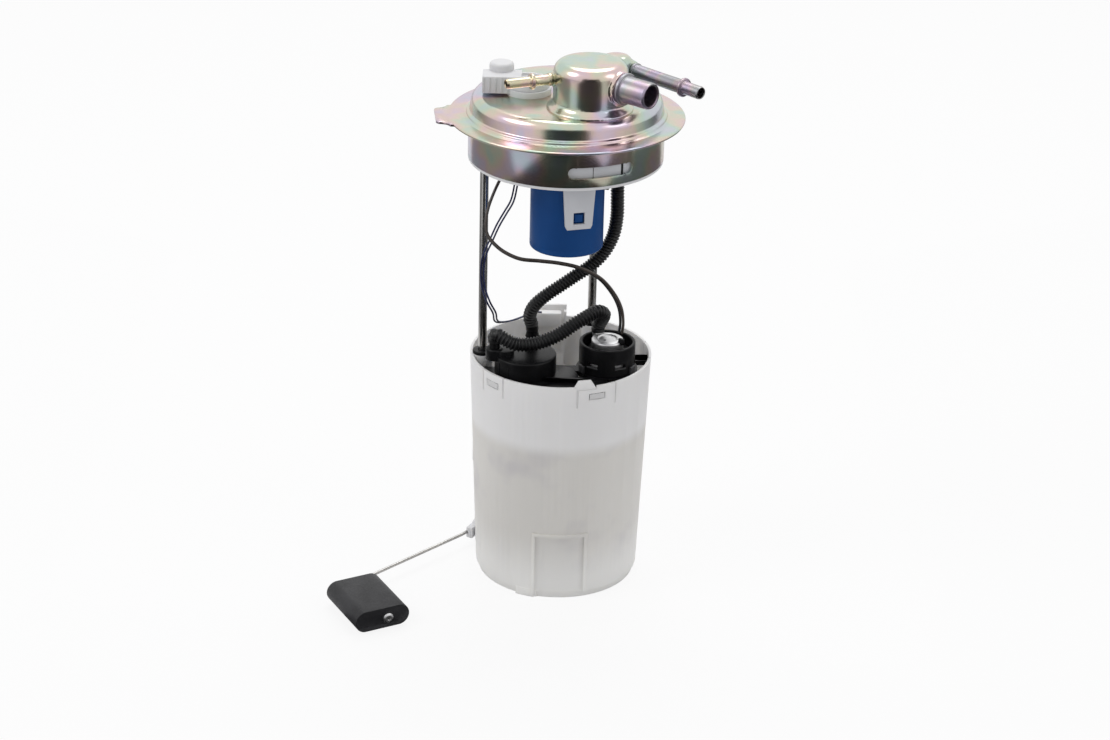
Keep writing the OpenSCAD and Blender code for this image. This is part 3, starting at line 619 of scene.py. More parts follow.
def grain_group() -> bpy.types.NodeTree:
    """Fine grain of a moulded or plated surface, as a height and as a mask."""
    sheet, start = new_group("grain", {"Scale": 1500.0, "Stretch": 1.0}, ("Height", "Mask"))
    coords = sheet.add("TexCoord")
    parts = sheet.add("SeparateXYZ", Vector=(coords, "Object"))
    tall = sheet.add("Math", (parts, "Z"), (start, "Stretch"), operation="MULTIPLY")
    joined = sheet.add("CombineXYZ", X=(parts, "X"), Y=(parts, "Y"), Z=(tall, "Value"))
    noise = sheet.add("TexNoise", Detail=4.0, Roughness=0.6, Vector=(joined, "Vector"),
                      Scale=(start, "Scale"))
    span = sheet.add("MapRange", From_Min=0.3, From_Max=0.7, Value=(noise, "Fac"))
    sheet.add("NodeGroupOutput", Height=(noise, "Fac"), Mask=(span, "Result"))
    return sheet.tree


CLOUDS = cloud_group()
GRAIN = grain_group()


@dataclass(frozen=True)
class Finish:
    """A surface: two tones in clouds, a range of roughness and a fine grain."""

    name: str
    tone: Colour
    other: Colour
    metallic: float = 0.0
    rough: Pair = (0.4, 0.55)
    cloud: float = 40.0
    grain: float = 1500.0
    stretch: float = 1.0
    bump: float = 0.15
    depth: float = 0.05
    coat: float = 0.0
    sheen: float = 0.0
    scatter: float = 0.0
    ior: float = 1.5

    def colour(self, sheet: Sheet) -> Output:
        """The output that feeds the base colour: two tones mixed by clouds."""
        clouds = sheet.add("Group", node_tree=CLOUDS, Scale=self.cloud)
        return sheet.mix((clouds, "Mask"), self.tone, self.other)

    def build(self) -> Material:
        """Builds the material.

        Returns:
            The material, with a Principled shader fed by the shared groups.
        """
        material, sheet = new_material(self.name)
        grain = sheet.add("Group", node_tree=GRAIN, Scale=self.grain, Stretch=self.stretch)
        rough = sheet.add("MapRange", Value=(grain, "Mask"), To_Min=self.rough[0], To_Max=self.rough[1])
        bump = sheet.add("Bump", Height=(grain, "Height"), Strength=self.bump, Distance=self.depth * MM)
        shader = sheet.add("BsdfPrincipled", Base_Color=self.colour(sheet), Roughness=(rough, "Result"),
                           Normal=(bump, "Normal"), Metallic=self.metallic, Coat_Weight=self.coat,
                           Sheen_Weight=self.sheen, IOR=self.ior)
        if self.scatter:
            for key, value in (("Weight", self.scatter), ("Radius", (1.0, 0.95, 0.85)), ("Scale", 4 * MM)):
                shader.inputs["Subsurface " + key].default_value = value
        sheet.add("OutputMaterial", Surface=(shader, "BSDF"))
        return material


@dataclass(frozen=True)
class PassivatedZinc(Finish):
    """Zinc plate with the soft rainbow of a chromate passivation, which stands for both tones."""

    tone: Colour = (0.6, 0.6, 0.6)
    other: Colour = (0.6, 0.6, 0.6)
    metallic: float = 1.0
    grain: float = 2600.0
    bump: float = 0.06
    tints: tuple[Colour, ...] = ((0.54, 0.53, 0.61), (0.43, 0.59, 0.49), (0.62, 0.57, 0.44),
                                 (0.68, 0.51, 0.47), (0.58, 0.48, 0.62), (0.45, 0.56, 0.60))

    def colour(self, sheet: Sheet) -> Output:
        """The output that feeds the base colour: tints that follow broad clouds."""
        clouds = sheet.add("Group", node_tree=CLOUDS, Scale=self.cloud, Low=0.3, High=0.7)
        ramp = sheet.add("ValToRGB", Fac=(clouds, "Mask"))
        ramp.color_ramp.interpolation = "B_SPLINE"
        stops = ramp.color_ramp.elements
        while len(stops) < len(self.tints):
            stops.new(0.5)
        for k, tint in enumerate(self.tints):
            stops[k].position = k / (len(self.tints) - 1)
            stops[k].color = (*tint, 1)
        return ramp, "Color"


@dataclass(frozen=True)
class NaturalResin(Finish):
    """Milky resin with painted shade: darker below a band, where the parts inside shade it, with faint
    painted shadows of those parts, and lighter at the foot.
    """

    # The first colour paints the shade of the parts inside, below the band; the second paints faint shadow
    # blobs on it.
    painted_inner_shade: Colour = (0.73, 0.71, 0.675)
    shade: Colour = (0.62, 0.60, 0.60)
    band: Pair = (93.0, 103.0)
    foot: Pair = (6.0, 44.0)

    def colour(self, sheet: Sheet) -> Output:
        """The output that feeds the base colour: the pale tone above the band, painted shade with painted
        shadow blobs below it, and a lighter tone at the foot.
        """
        coords = sheet.add("TexCoord")
        parts = sheet.add("SeparateXYZ", Vector=(coords, "Object"))
        band, foot = (sheet.add("MapRange", interpolation_type="SMOOTHSTEP", Value=(parts, "Z"),
                                From_Min=low * MM, From_Max=high * MM)
                      for low, high in (self.band, self.foot))
        # Painted shade of the parts inside below the band, with blobs of painted shadow, and a lighter tone
        # at the foot.
        shadow_blobs = sheet.add("Group", node_tree=CLOUDS, Scale=self.cloud, Low=0.52, High=0.74)
        lower = sheet.mix((shadow_blobs, "Mask"), self.painted_inner_shade, self.shade)
        upper = sheet.mix((band, "Result"), lower, self.tone)
        return sheet.mix((foot, "Result"), self.other, upper)


FINISHES = {slot: finish.build() for slot, finish in {
    Slot.ZINC: PassivatedZinc("zinc_passivated", rough=(0.18, 0.26), cloud=24.0),
    Slot.GOLD: PassivatedZinc("yellow_passivated", rough=(0.2, 0.3), cloud=60.0,
                              tints=((0.56, 0.50, 0.40), (0.62, 0.42, 0.38), (0.50, 0.52, 0.36),
                                     (0.64, 0.54, 0.36), (0.60, 0.42, 0.42))),
    Slot.STAINLESS: Finish("drawn_stainless", (0.55, 0.54, 0.52), (0.48, 0.47, 0.46), 1.0, (0.16, 0.3), 60.0,
                           1200.0, 0.02, 0.1),
    Slot.NYLON: Finish("white_nylon", (0.74, 0.74, 0.75), (0.69, 0.69, 0.71), 0.0, (0.42, 0.58), 30.0,
                       1400.0, scatter=0.2),
    # The resin's colour paints the shade of the parts inside, below its band.
    Slot.RESIN: NaturalResin("natural_resin", (0.85, 0.84, 0.835), (0.93, 0.92, 0.89), 0.0, (0.34, 0.5),
                             22.0, 900.0, bump=0.08, scatter=0.3),
    Slot.BLACK: Finish("black_acetal", (0.004, 0.004, 0.0045), (0.007, 0.007, 0.008), 0.0, (0.26, 0.4), 60.0,
                       1600.0, bump=0.12, ior=1.25),
    Slot.GREY: Finish("grey_acetal", (0.03, 0.03, 0.032), (0.045, 0.045, 0.05), 0.0, (0.35, 0.5), 50.0,
                      1500.0),
    Slot.BLUE: Finish("blue_acetal", (0.001, 0.047, 0.190), (0.001, 0.055, 0.215), 0.0, (0.36, 0.5), 30.0,
                      1500.0, ior=1.3),
    Slot.HOSE: Finish("hose_nylon", (0.004, 0.004, 0.0045), (0.009, 0.009, 0.010), 0.0, (0.28, 0.42), 90.0,
                      1400.0, ior=1.42),
    Slot.LEAD: Finish("lead_jacket_black", (0.012, 0.012, 0.013), (0.025, 0.023, 0.023), 0.0,
                      (0.3, 0.42), 120.0, 1200.0, bump=0.08),
    Slot.SENDER_LEAD: Finish("lead_jacket_blue", (0.008, 0.012, 0.06), (0.012, 0.02, 0.085), 0.0, (0.3, 0.42),
                             120.0, 1200.0, bump=0.08),
    Slot.SEAL: Finish("seal_rubber", (0.014, 0.014, 0.014), (0.03, 0.03, 0.03), 0.0, (0.55, 0.75), 60.0,
                      900.0, sheen=0.1),
    Slot.FOAM: Finish("float_foam", (0.011, 0.011, 0.013), (0.024, 0.024, 0.027), 0.0, (0.45, 0.62), 70.0,
                      1100.0, bump=0.6, depth=0.12, sheen=0.05, ior=1.38),
    Slot.BRASS: Finish("bright_brass", (0.72, 0.55, 0.26), (0.62, 0.46, 0.22), 1.0, (0.18, 0.32), 80.0,
                       1600.0),
    Slot.PUMP_STEEL: Finish("plated_steel", (0.64, 0.64, 0.64), (0.54, 0.54, 0.55), 1.0, (0.36, 0.5), 50.0,
                            1600.0, 0.05),
    Slot.MAGNET: Finish("ferrite", (0.05, 0.05, 0.052), (0.08, 0.078, 0.078), 0.0, (0.6, 0.8), 40.0,
                        900.0, bump=0.3),
    Slot.COPPER: Finish("varnished_copper", (0.50, 0.20, 0.09), (0.36, 0.13, 0.06), 0.9, (0.22, 0.4), 80.0,
                        1800.0, 6.0, 0.5, coat=0.4),
    Slot.PAPER: Finish("filter_paper", (0.68, 0.58, 0.38), (0.58, 0.48, 0.30), 0.0, (0.75, 0.9), 60.0,
                       1300.0, bump=0.4, sheen=0.2),
    Slot.CLOTH: Finish("strainer_cloth", (0.72, 0.72, 0.70), (0.60, 0.60, 0.58), 0.0, (0.6, 0.8), 60.0,
                       1800.0, bump=0.6, sheen=0.3),
    Slot.CERAMIC: Finish("fired_ceramic", (0.62, 0.57, 0.45), (0.50, 0.46, 0.36), 0.0, (0.3, 0.45), 80.0,
                         1300.0),
}.items()}
PIPE_ZINC = PassivatedZinc("pipe_zinc", rough=(0.33, 0.42), cloud=60.0,
                           tints=((0.34, 0.30, 0.36), (0.28, 0.31, 0.31), (0.38, 0.33, 0.32),
                                  (0.38, 0.28, 0.36), (0.30, 0.29, 0.37))).build()
BROWN_JACKET = Finish("lead_jacket_brown", (0.035, 0.026, 0.021), (0.055, 0.042, 0.035), 0.0,
                      (0.32, 0.45), 120.0, 1200.0, bump=0.08).build()
# A darker copy of the white nylon: it paints the shade that the carrier sits in under the skirt.
SHADED_NYLON = Finish("shaded_carrier_nylon", (0.60, 0.61, 0.64), (0.55, 0.56, 0.59), 0.0, (0.42, 0.58), 30.0,
                      1400.0, scatter=0.15).build()
# Near black: painted shadow inside the tube bores and in the carrier's gap, and the dark line of the
# carrier's seam.
SHADOW_AND_SEAM_PAINT = Finish("tube_shadow", (0.02, 0.02, 0.02), (0.03, 0.03, 0.03), 0.6, (0.4, 0.6), 60.0).build()


def dress(obj: Obj, material: Material) -> None:
    """Puts one material on every slot of an object.

    Args:
        obj: The object to dress.
        material: The material.
    """
    if not obj.material_slots:
        obj.data.materials.append(material)
    for slot in obj.material_slots:
        slot.material = material


def place(obj: Obj, slot: Slot, body: Body, nodes: tuple[str, ...] = (), angle: float = 35,
          material: Material | None = None, bend: Bend | None = None) -> None:
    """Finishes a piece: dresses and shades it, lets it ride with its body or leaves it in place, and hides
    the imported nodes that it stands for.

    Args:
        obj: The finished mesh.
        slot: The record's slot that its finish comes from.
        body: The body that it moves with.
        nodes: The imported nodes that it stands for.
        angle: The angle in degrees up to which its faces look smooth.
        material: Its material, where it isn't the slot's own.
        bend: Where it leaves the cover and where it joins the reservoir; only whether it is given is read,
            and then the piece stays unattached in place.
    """
    settle(obj)
    obj.data.materials.clear()
    dress(obj, material or FINISHES[slot])
    bpy.ops.object.shade_smooth_by_angle(angle=radians(angle))
    if bend:
        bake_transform(obj)
    else:
        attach(obj, body.value)
    if nodes:
        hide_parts(*nodes)
    LOG.info("piece %s, %d faces", obj.name, len(obj.data.polygons))


def place_cad(node: str, name: str, slot: Slot, body: Body, edge: float, segments: int = 2,
              **look: float | Material) -> None:
    """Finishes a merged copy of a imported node's mesh, with its sharp edges rounded.

    Args:
        node: The node that is copied and replaced.
        name: The piece's name.
        slot: Its slot.
        body: Its body.
        edge: The width of the edge rounding, in millimetres.
        segments: The rounding's segments.
        **look: Its angle or material, as place takes them.
    """
    obj = new_object(name, frame["nodes"][node].data.copy())
    tidy_mesh(obj)
    soften(obj, edge, segments, SHARP_ANGLE)
    place(obj, slot, body, (node,), **look)


# The object's parts


@dataclass
class Cover:
    """The pressed cover: flange with tab, raised disc, skirt and port dome."""

    seat: float = 286.0
    sheet: float = 1.6
    flange_r: float = 67.5
    disc_z: float = 300.0
    disc_r: float = 54.0
    tab_turn: float = 186.0
    dome_at: Point = (12.8, -25.5, 0)
    dome_r: float = 21.0
    dome_h: float = 27.5
    lobe_at: Point = (27, -11, 0)
    knob_at: Point = (32.2, -7.6, 318.0)
    knob_r: float = 5.6

    def build(self) -> None:
        """Builds and places every pressed piece."""
        self.plate()
        self.skirt()
        self.dome()

    def plate(self) -> None:
        """One pressed sheet: flange, step and disc with drawn fillets, and the tab."""
        z, r, d = self.seat, self.disc_r, self.disc_z
        shell = lathe("cover_shell", [
            (0, d, 0), (r, d, 5.5), (r + 1.3, z + 4.0, 1.0), (r + 2.9, z + 3.6, 0.7), (r + 3.3, z + 2.2, 0.5),
            (r + 5.0, z + self.sheet, 0.8), (self.flange_r, z + self.sheet, 0.75),
            (self.flange_r, z, 0.75), (56.2, z, 0.8), (52.6, z + 1.0, 1.0), (r - 1.6, z + 9, 1.5),
            (r - 1.6, d - self.sheet, 4), (0, d - self.sheet, 0)], 128)
        shell = weld(shell, self.tab())
        place(shell, Slot.ZINC, Body.COVER, ("cover_plate",), 40)

    def tab(self) -> Obj:
        """The locating tab: a neck with filleted roots and a rounded head."""
        half = [(62.0, 17.5)]
        half += [(73.1 + 6 * cos(radians(a)), 18.5 + 6 * sin(radians(a))) for a in range(196, 256, 8)]
        half += [(72 + 3 * cos(radians(a)), 9.5 + 3 * sin(radians(a))) for a in range(90, -1, -15)]
        obj = slab("tab", half + [(x, -y) for x, y in reversed(half)], 0, self.sheet)
        soften(obj, 0.35, 2, 50)
        return aim(obj, Matrix.Translation((0, 0, self.seat * MM))
                   @ Matrix.Rotation(radians(self.tab_turn), 4, "Z"))

    def skirt(self) -> None:
        """The deep skirt with its oval slot, its edges rounded."""
        place_cad("skirt_ring", "skirt", Slot.ZINC, Body.COVER, 0.3, angle=40)

    def dome(self) -> None:
        """The drawn dome with its lobe and three bosses, melted into one skin."""
        z, r = self.disc_z, self.dome_r
        top = z + self.dome_h
        body = lathe("body", [
            (0, z - 0.6, 0), (r + 3.4, z - 0.6, 0), (r + 3.4, z + self.sheet, 0.7),
            (r + 2.2, z + self.sheet + 0.2, 0.6), (r, z + 4.2, 2.0), (r, top, 6.5), (0, top, 0)],
            at=self.dome_at)
        lobe = lathe("lobe", [(0, z - 0.6, 0), (8.8, z - 0.6, 0), (8.8, top - 1, 4.5), (0, top - 1, 0)],
                     64, at=self.lobe_at)
        parts = [body, lobe]
        for port, r1, r2, low, high in ((VENT, 11.6, 9.3, -8.0, 5.0), (VENT, 9.3, 9.3, 0.0, 10.6),
                                        (FEED, 6.2, 4.9, -2.0, 6.6), (RETURN, 5.6, 3.7, 1.0, 6.2)):
            parts.append(aim(cylinder("boss", r1, high - low, (0, 0, low), 64, r2), port.axis()))
        bpy.ops.object.select_all(action="DESELECT")
        bpy.ops.mesh.primitive_uv_sphere_add(segments=32, ring_count=20, radius=self.knob_r * MM,
                                             location=Vector(self.knob_at) * MM)
        parts.append(bpy.context.active_object)
        shell = flow(merge(parts, "port_dome_shell"), 0.6, 9)
        place(shell, Slot.ZINC, Body.COVER, ("port_dome",), 60)


@dataclass(frozen=True)
class PortTube:
    """A tube with a root collar, a retaining bead and a plain nose."""

    name: str
    node: str
    slot: Slot
    at: Point
    turn: float
    d: float
    nose_d: float
    bore_d: float
    length: float
    bead_at: float
    bead_d: float
    collar_d: float
    collar_at: float

    def axis(self) -> Matrix:
        """The matrix from an upright tube at the origin to the tube's place, in metres."""
        return (Matrix.Translation(Vector(self.at) * MM) @ Matrix.Rotation(radians(self.turn), 4, "Z")
                @ Matrix.Rotation(radians(90), 4, "Y"))

    def build(self) -> None:
        """Builds the tube from one rounded profile, with a near-black disc in its bore that paints the shade
        inside.
        """
        r, n, b, c = self.d / 2, self.nose_d / 2, self.bead_d / 2, self.collar_d / 2
        soft = 0.5 * (b - n)
        bore, end, bead, collar = self.bore_d / 2, self.length, self.bead_at, self.collar_at
        pipe = lathe(self.name, [
            (bore, 0.2, 0), (r, 0, 0), (r, collar, 0.2), (c, collar, 0.5), (c, collar + 1.6, 0.5),
            (r, collar + 1.6, 0.3), (r, bead, soft), (b, bead, soft), (b, bead + 2, soft),
            (n, bead + 2.1, soft), (n, end - 1.2, 0.8), (n - 0.45, end, 0.4), (bore + 0.35, end, 0.3),
            (bore, end - 0.7, 0.3), (bore, 0.3, 0)], 64, closed=True)
        place(aim(pipe, self.axis()), self.slot, Body.COVER, (self.node,), 50,
              PIPE_ZINC if self.slot is Slot.ZINC else None)
        # A near-black disc inside the bore paints the shade deep in the tube.
        bore_shade_disc = cylinder(self.name + "_bore_shade", bore - 0.02, 1.0, (0, 0, 4.0), 32, bevel=0.1)
        place(aim(bore_shade_disc, self.axis()), self.slot, Body.COVER, (), 30, SHADOW_AND_SEAM_PAINT)


VENT = PortTube("filler_vent_pipe", "filler_vent_tube", Slot.ZINC, (22.5, -31.4, 315.7), -40, 16, 15, 11.7,
                30.5, 11.4, 18.3, 16.0, 2)
FEED = PortTube("feed_pipe", "feed_tube", Slot.ZINC, (32.6, -7.8, 318), -46.2, 7.9, 7.3, 5.7, 58.6, 44.2,
                10.7, 9.1, 7)
RETURN = PortTube("return_pipe", "return_tube", Slot.GOLD, (-3.6, -26.3, 317), 203.3, 6, 5.6, 4.2, 33.2,
                  16.7, 9.2, 7.2, 6.4)


@dataclass
class PassThrough:
    """The white electrical pass-through and the moulded carrier under the cover."""

    disc_z: float = 300.0
    socket_at: Point = (-22, -1, 0)
    lip_drop: float = 37.0
    gap_turn: float = -54.5
    seam_turn: float = -73.5

    def build(self) -> None:
        """Builds the socket with its ring and ribs, and the carrier with its lip, a dark strip that paints
        the shadow in its gap, and its dark seam line.
        """
        place_cad("connector_body", "socket_housing", Slot.NYLON, Body.COVER, 0.45, 3)
        z = self.disc_z
        place(lathe("socket_ring", [(9.6, z + 7.0, 0), (9.9, z + 8.2, 0.4), (11.2, z + 8.2, 0.4),
                                    (11.6, z + 3.6, 0.3), (9.4, z + 3.6, 0)], 64, True, self.socket_at),
              Slot.NYLON, Body.COVER)
        ribs = [box("rib", (-47.9 + 3.4 * k, -9.4, z + 2.0), (-46.9 + 3.4 * k, -8.8, z + 10.6), 0.15)
                for k in range(5)]
        place(merge(ribs, "socket_ribs"), Slot.NYLON, Body.COVER)
        # The carrier wears the darker nylon copy, which paints the shade under the skirt.
        place_cad("valve_carrier", "carrier_moulding", Slot.NYLON, Body.COVER, 0.35,
                  material=SHADED_NYLON)
        low = z - self.lip_drop
        place(lathe("carrier_lip", [(53.6, low - 1.9, 0.5), (55.9, low - 1.9, 0.8), (55.9, low, 0),
                                    (53.6, low, 0)], 128, True), Slot.NYLON, Body.COVER)
        # Dark strips on the carrier: one paints the shadow in its gap, the other is the dark line of its
        # seam.
        low, high = z - 33.6, z - 23.0
        lines = [box("gap", (53.6, -0.75, low), (54.16, 0.75, high), 0.05, self.gap_turn),
                 box("seam", (53.7, -0.18, low), (54.13, 0.18, high), 0.0, self.seam_turn)]
        place(merge(lines, "carrier_gaps"), Slot.NYLON, Body.COVER, (), 30, SHADOW_AND_SEAM_PAINT)


@dataclass
class VentValve:
    """The blue vent valve below the carrier."""

    at: Point = (1.5, -24.0, 0)
    r: float = 21.0
    low: float = 217.0

    def build(self) -> None:
        """Builds the body, the cap, the seam between them and the nub."""
        place_cad("vent_valve_body", "valve_body", Slot.BLUE, Body.COVER, 0.5, 3)
        z, r = self.low, self.r
        place_cad("vent_valve_cap", "valve_cap", Slot.BLUE, Body.COVER, 0.3)
        place(lathe("valve_seam", [(r - 0.6, z + 2.9, 0), (r + 0.05, z + 2.9, 0.1),
                                   (r + 0.05, z + 3.5, 0.1), (r - 0.6, z + 3.5, 0)], 96, True, self.at),
              Slot.BLUE, Body.COVER)
        place_cad("vent_valve_nipple", "valve_nub", Slot.BLACK, Body.COVER, 0.25, 3)


UPPER_ROUTE = [
    (30, -14, 262), (30, -14, 256), (30, -14, 248), (30.2, -14, 240), (30.2, -14, 231), (28.4, -14, 219.5),
    (23.2, -14, 208.5), (15.6, -14, 200), (7, -14, 193.5), (-1.5, -14, 187), (-10, -14, 180.5),
    (-16.2, -13, 173.7), (-18.6, -11, 166.5), (-17.4, -9.3, 161), (-17, -9, 157.3)]
LOWER_ROUTE = [
    (21.6, -2, 154.2), (21.8, -2, 158), (24, -3.4, 163), (24.4, -6, 167), (20.5, -10, 169.8),
    (14.5, -14.5, 168.3), (7.8, -18, 165.2), (-0.7, -21.5, 160.2), (-9.3, -24.5, 156.9), (-18, -26.5, 155.2),
    (-26.5, -27.3, 155.6), (-33, -26.6, 158.4), (-37, -25, 160), (-38.5, -24, 158.4), (-38.5, -24, 155.4)]
PUMP_LEAD_ROUTE = [
    (-28, -5, 266.2), (-29, -6, 262.5), (-33, -10, 258), (-37.5, -15, 251), (-41, -20, 244),
    (-43.5, -24, 237), (-44.5, -28, 230), (-43.5, -31, 225), (-40.5, -34, 221.5), (-34, -37, 217),
    (-24.5, -39, 213.5), (-13, -39, 212.5), (-2, -38, 211), (9.5, -37, 208), (21, -34.5, 201),
    (29, -30, 190), (33.5, -24, 178.5), (35, -18, 167), (34.5, -15, 159)]
SENDER_LEAD_ROUTE = [
    (-25, 1, 266.4), (-25.4, 0, 262), (-26.5, -3, 256), (-28, -5, 246), (-30, -7, 236.5), (-34, -8, 229),
    (-38, -8.5, 221.5), (-41.8, -9.5, 212.5), (-45, -10.5, 205), (-46.5, -10.5, 196.5), (-46, -10.5, 185),
    (-43, -10.5, 175), (-39.5, -5, 165.5), (-39, 6, 156.5), (-37.5, 15, 151), (-33.5, 23, 147.8),
    (-28.5, 29, 146.6), (-22, 34.5, 147), (-16, 38.5, 147.8), (-12, 39.3, 147.6)]


@dataclass(frozen=True)
class CorrugatedHose:
    """A corrugated nylon hose with smooth cuffs over its spigots."""

    name: str
    node: str
    route: list[Point]
    r: float
    cuffs: Pair
    bend: Bend | None = None
    pitch: float = 1.9
    rib: float = 0.42
    cuff: float = 0.25
    sharpness: float = 0.55

    def build(self) -> None:
        """Sweeps the ribbed profile along the route."""
        points = even_points(self.route, self.pitch / 8)
        total = route_length(points)
        radii = []
        for k in range(len(points)):
            s = total * k / (len(points) - 1)
            if s < self.cuffs[0] or s > total - self.cuffs[1]:
                radii.append(self.r - self.cuff)
                continue
            wave = cos(2 * pi * s / self.pitch)
            radii.append(self.r - self.rib + self.rib * copysign(abs(wave) ** self.sharpness, wave))
        obj = tube(self.name, points, radii, 24)
        place(obj, Slot.HOSE, Body.RESERVOIR, (self.node,), 55, bend=self.bend)
        LOG.info("%s is %.0f mm long", self.name, total)


@dataclass(frozen=True)
class LeadPair:
    """Two insulated leads side by side."""

    names: tuple[str, str]
    node: str
    route: list[Point]
    d: float
    gap: float
    bend: Bend
    upright: bool
    slot: Slot
    jackets: tuple[Material, Material]
    step: float = 1.2

    def build(self) -> None:
        """Sweeps both leads along the route, each on its own side."""
        middle = even_points(self.route, self.step)
        total = route_length(middle)
        side = Vector((1, 0, 0.01))
        rows: tuple[list[Vector], list[Vector]] = ([], [])
        for k, p in enumerate(middle):
            t = (middle[min(k + 1, len(middle) - 1)] - middle[max(k - 1, 0)]).normalized()
            side = (side - t * side.dot(t)).normalized()
            off = (t.cross(side) if self.upright else side) * (self.d / 2 + self.gap)
            rows[0].append(p - off)
            rows[1].append(p + off)
        for name, row, material in zip(self.names, rows, self.jackets):
            obj = tube(name, row, [self.d / 2] * len(row), 12)
            place(obj, self.slot, Body.RESERVOIR, (self.node,), 60, material, self.bend)
        LOG.info("%s is %.0f mm long", self.node, total)


@dataclass
class Rods:
    """The two guide rods with their clips and bushes, and the springs below them."""

    places: tuple[Pair, ...] = ((-46.2, -5.0), (18.2, 43.0))
    low: float = 118.0
    floor: float = 71.5
    turns: int = 13
    sides: int = 20
    wire: float = 0.45
    coil_r: float = 2.65

    def build(self) -> None:
        """Builds rods, clips, bushes and springs."""
        place_cad("guide_rods", "guide_rod_pair", Slot.STAINLESS, Body.COVER, 0.25)
        place_cad("rod_clips", "push_clips", Slot.PUMP_STEEL, Body.COVER, 0.15)
        place_cad("rod_bushes", "slide_bushes", Slot.BLACK, Body.RESERVOIR, 0.3, 3)
        for k, (x, y) in enumerate(self.places):
            self.spring(k, x, y)

    def spring(self, k: int, x: float, y: float) -> None:
        """Winds one compression spring from its floor to the rod's end.

        Args:
            k: The spring's number.
            x: Its axis across, in millimetres.
            y: Its axis in depth, in millimetres.
        """
        wire, r, n = self.wire, self.coil_r, self.turns * self.sides
        rise = self.low - self.floor - 2 * wire
        points = [Vector((x + r * cos(2 * pi * i / self.sides), y + r * sin(2 * pi * i / self.sides),
                          self.floor + wire + rise * i / n)) for i in range(n + 1)]
        obj = tube(f"guide_spring_{k + 1}", points, [wire] * (n + 1), 8)
        place(obj, Slot.STAINLESS, Body.RESERVOIR, ("guide_springs",), 60,
              bend=((x, y, self.low), (x, y, self.floor)))


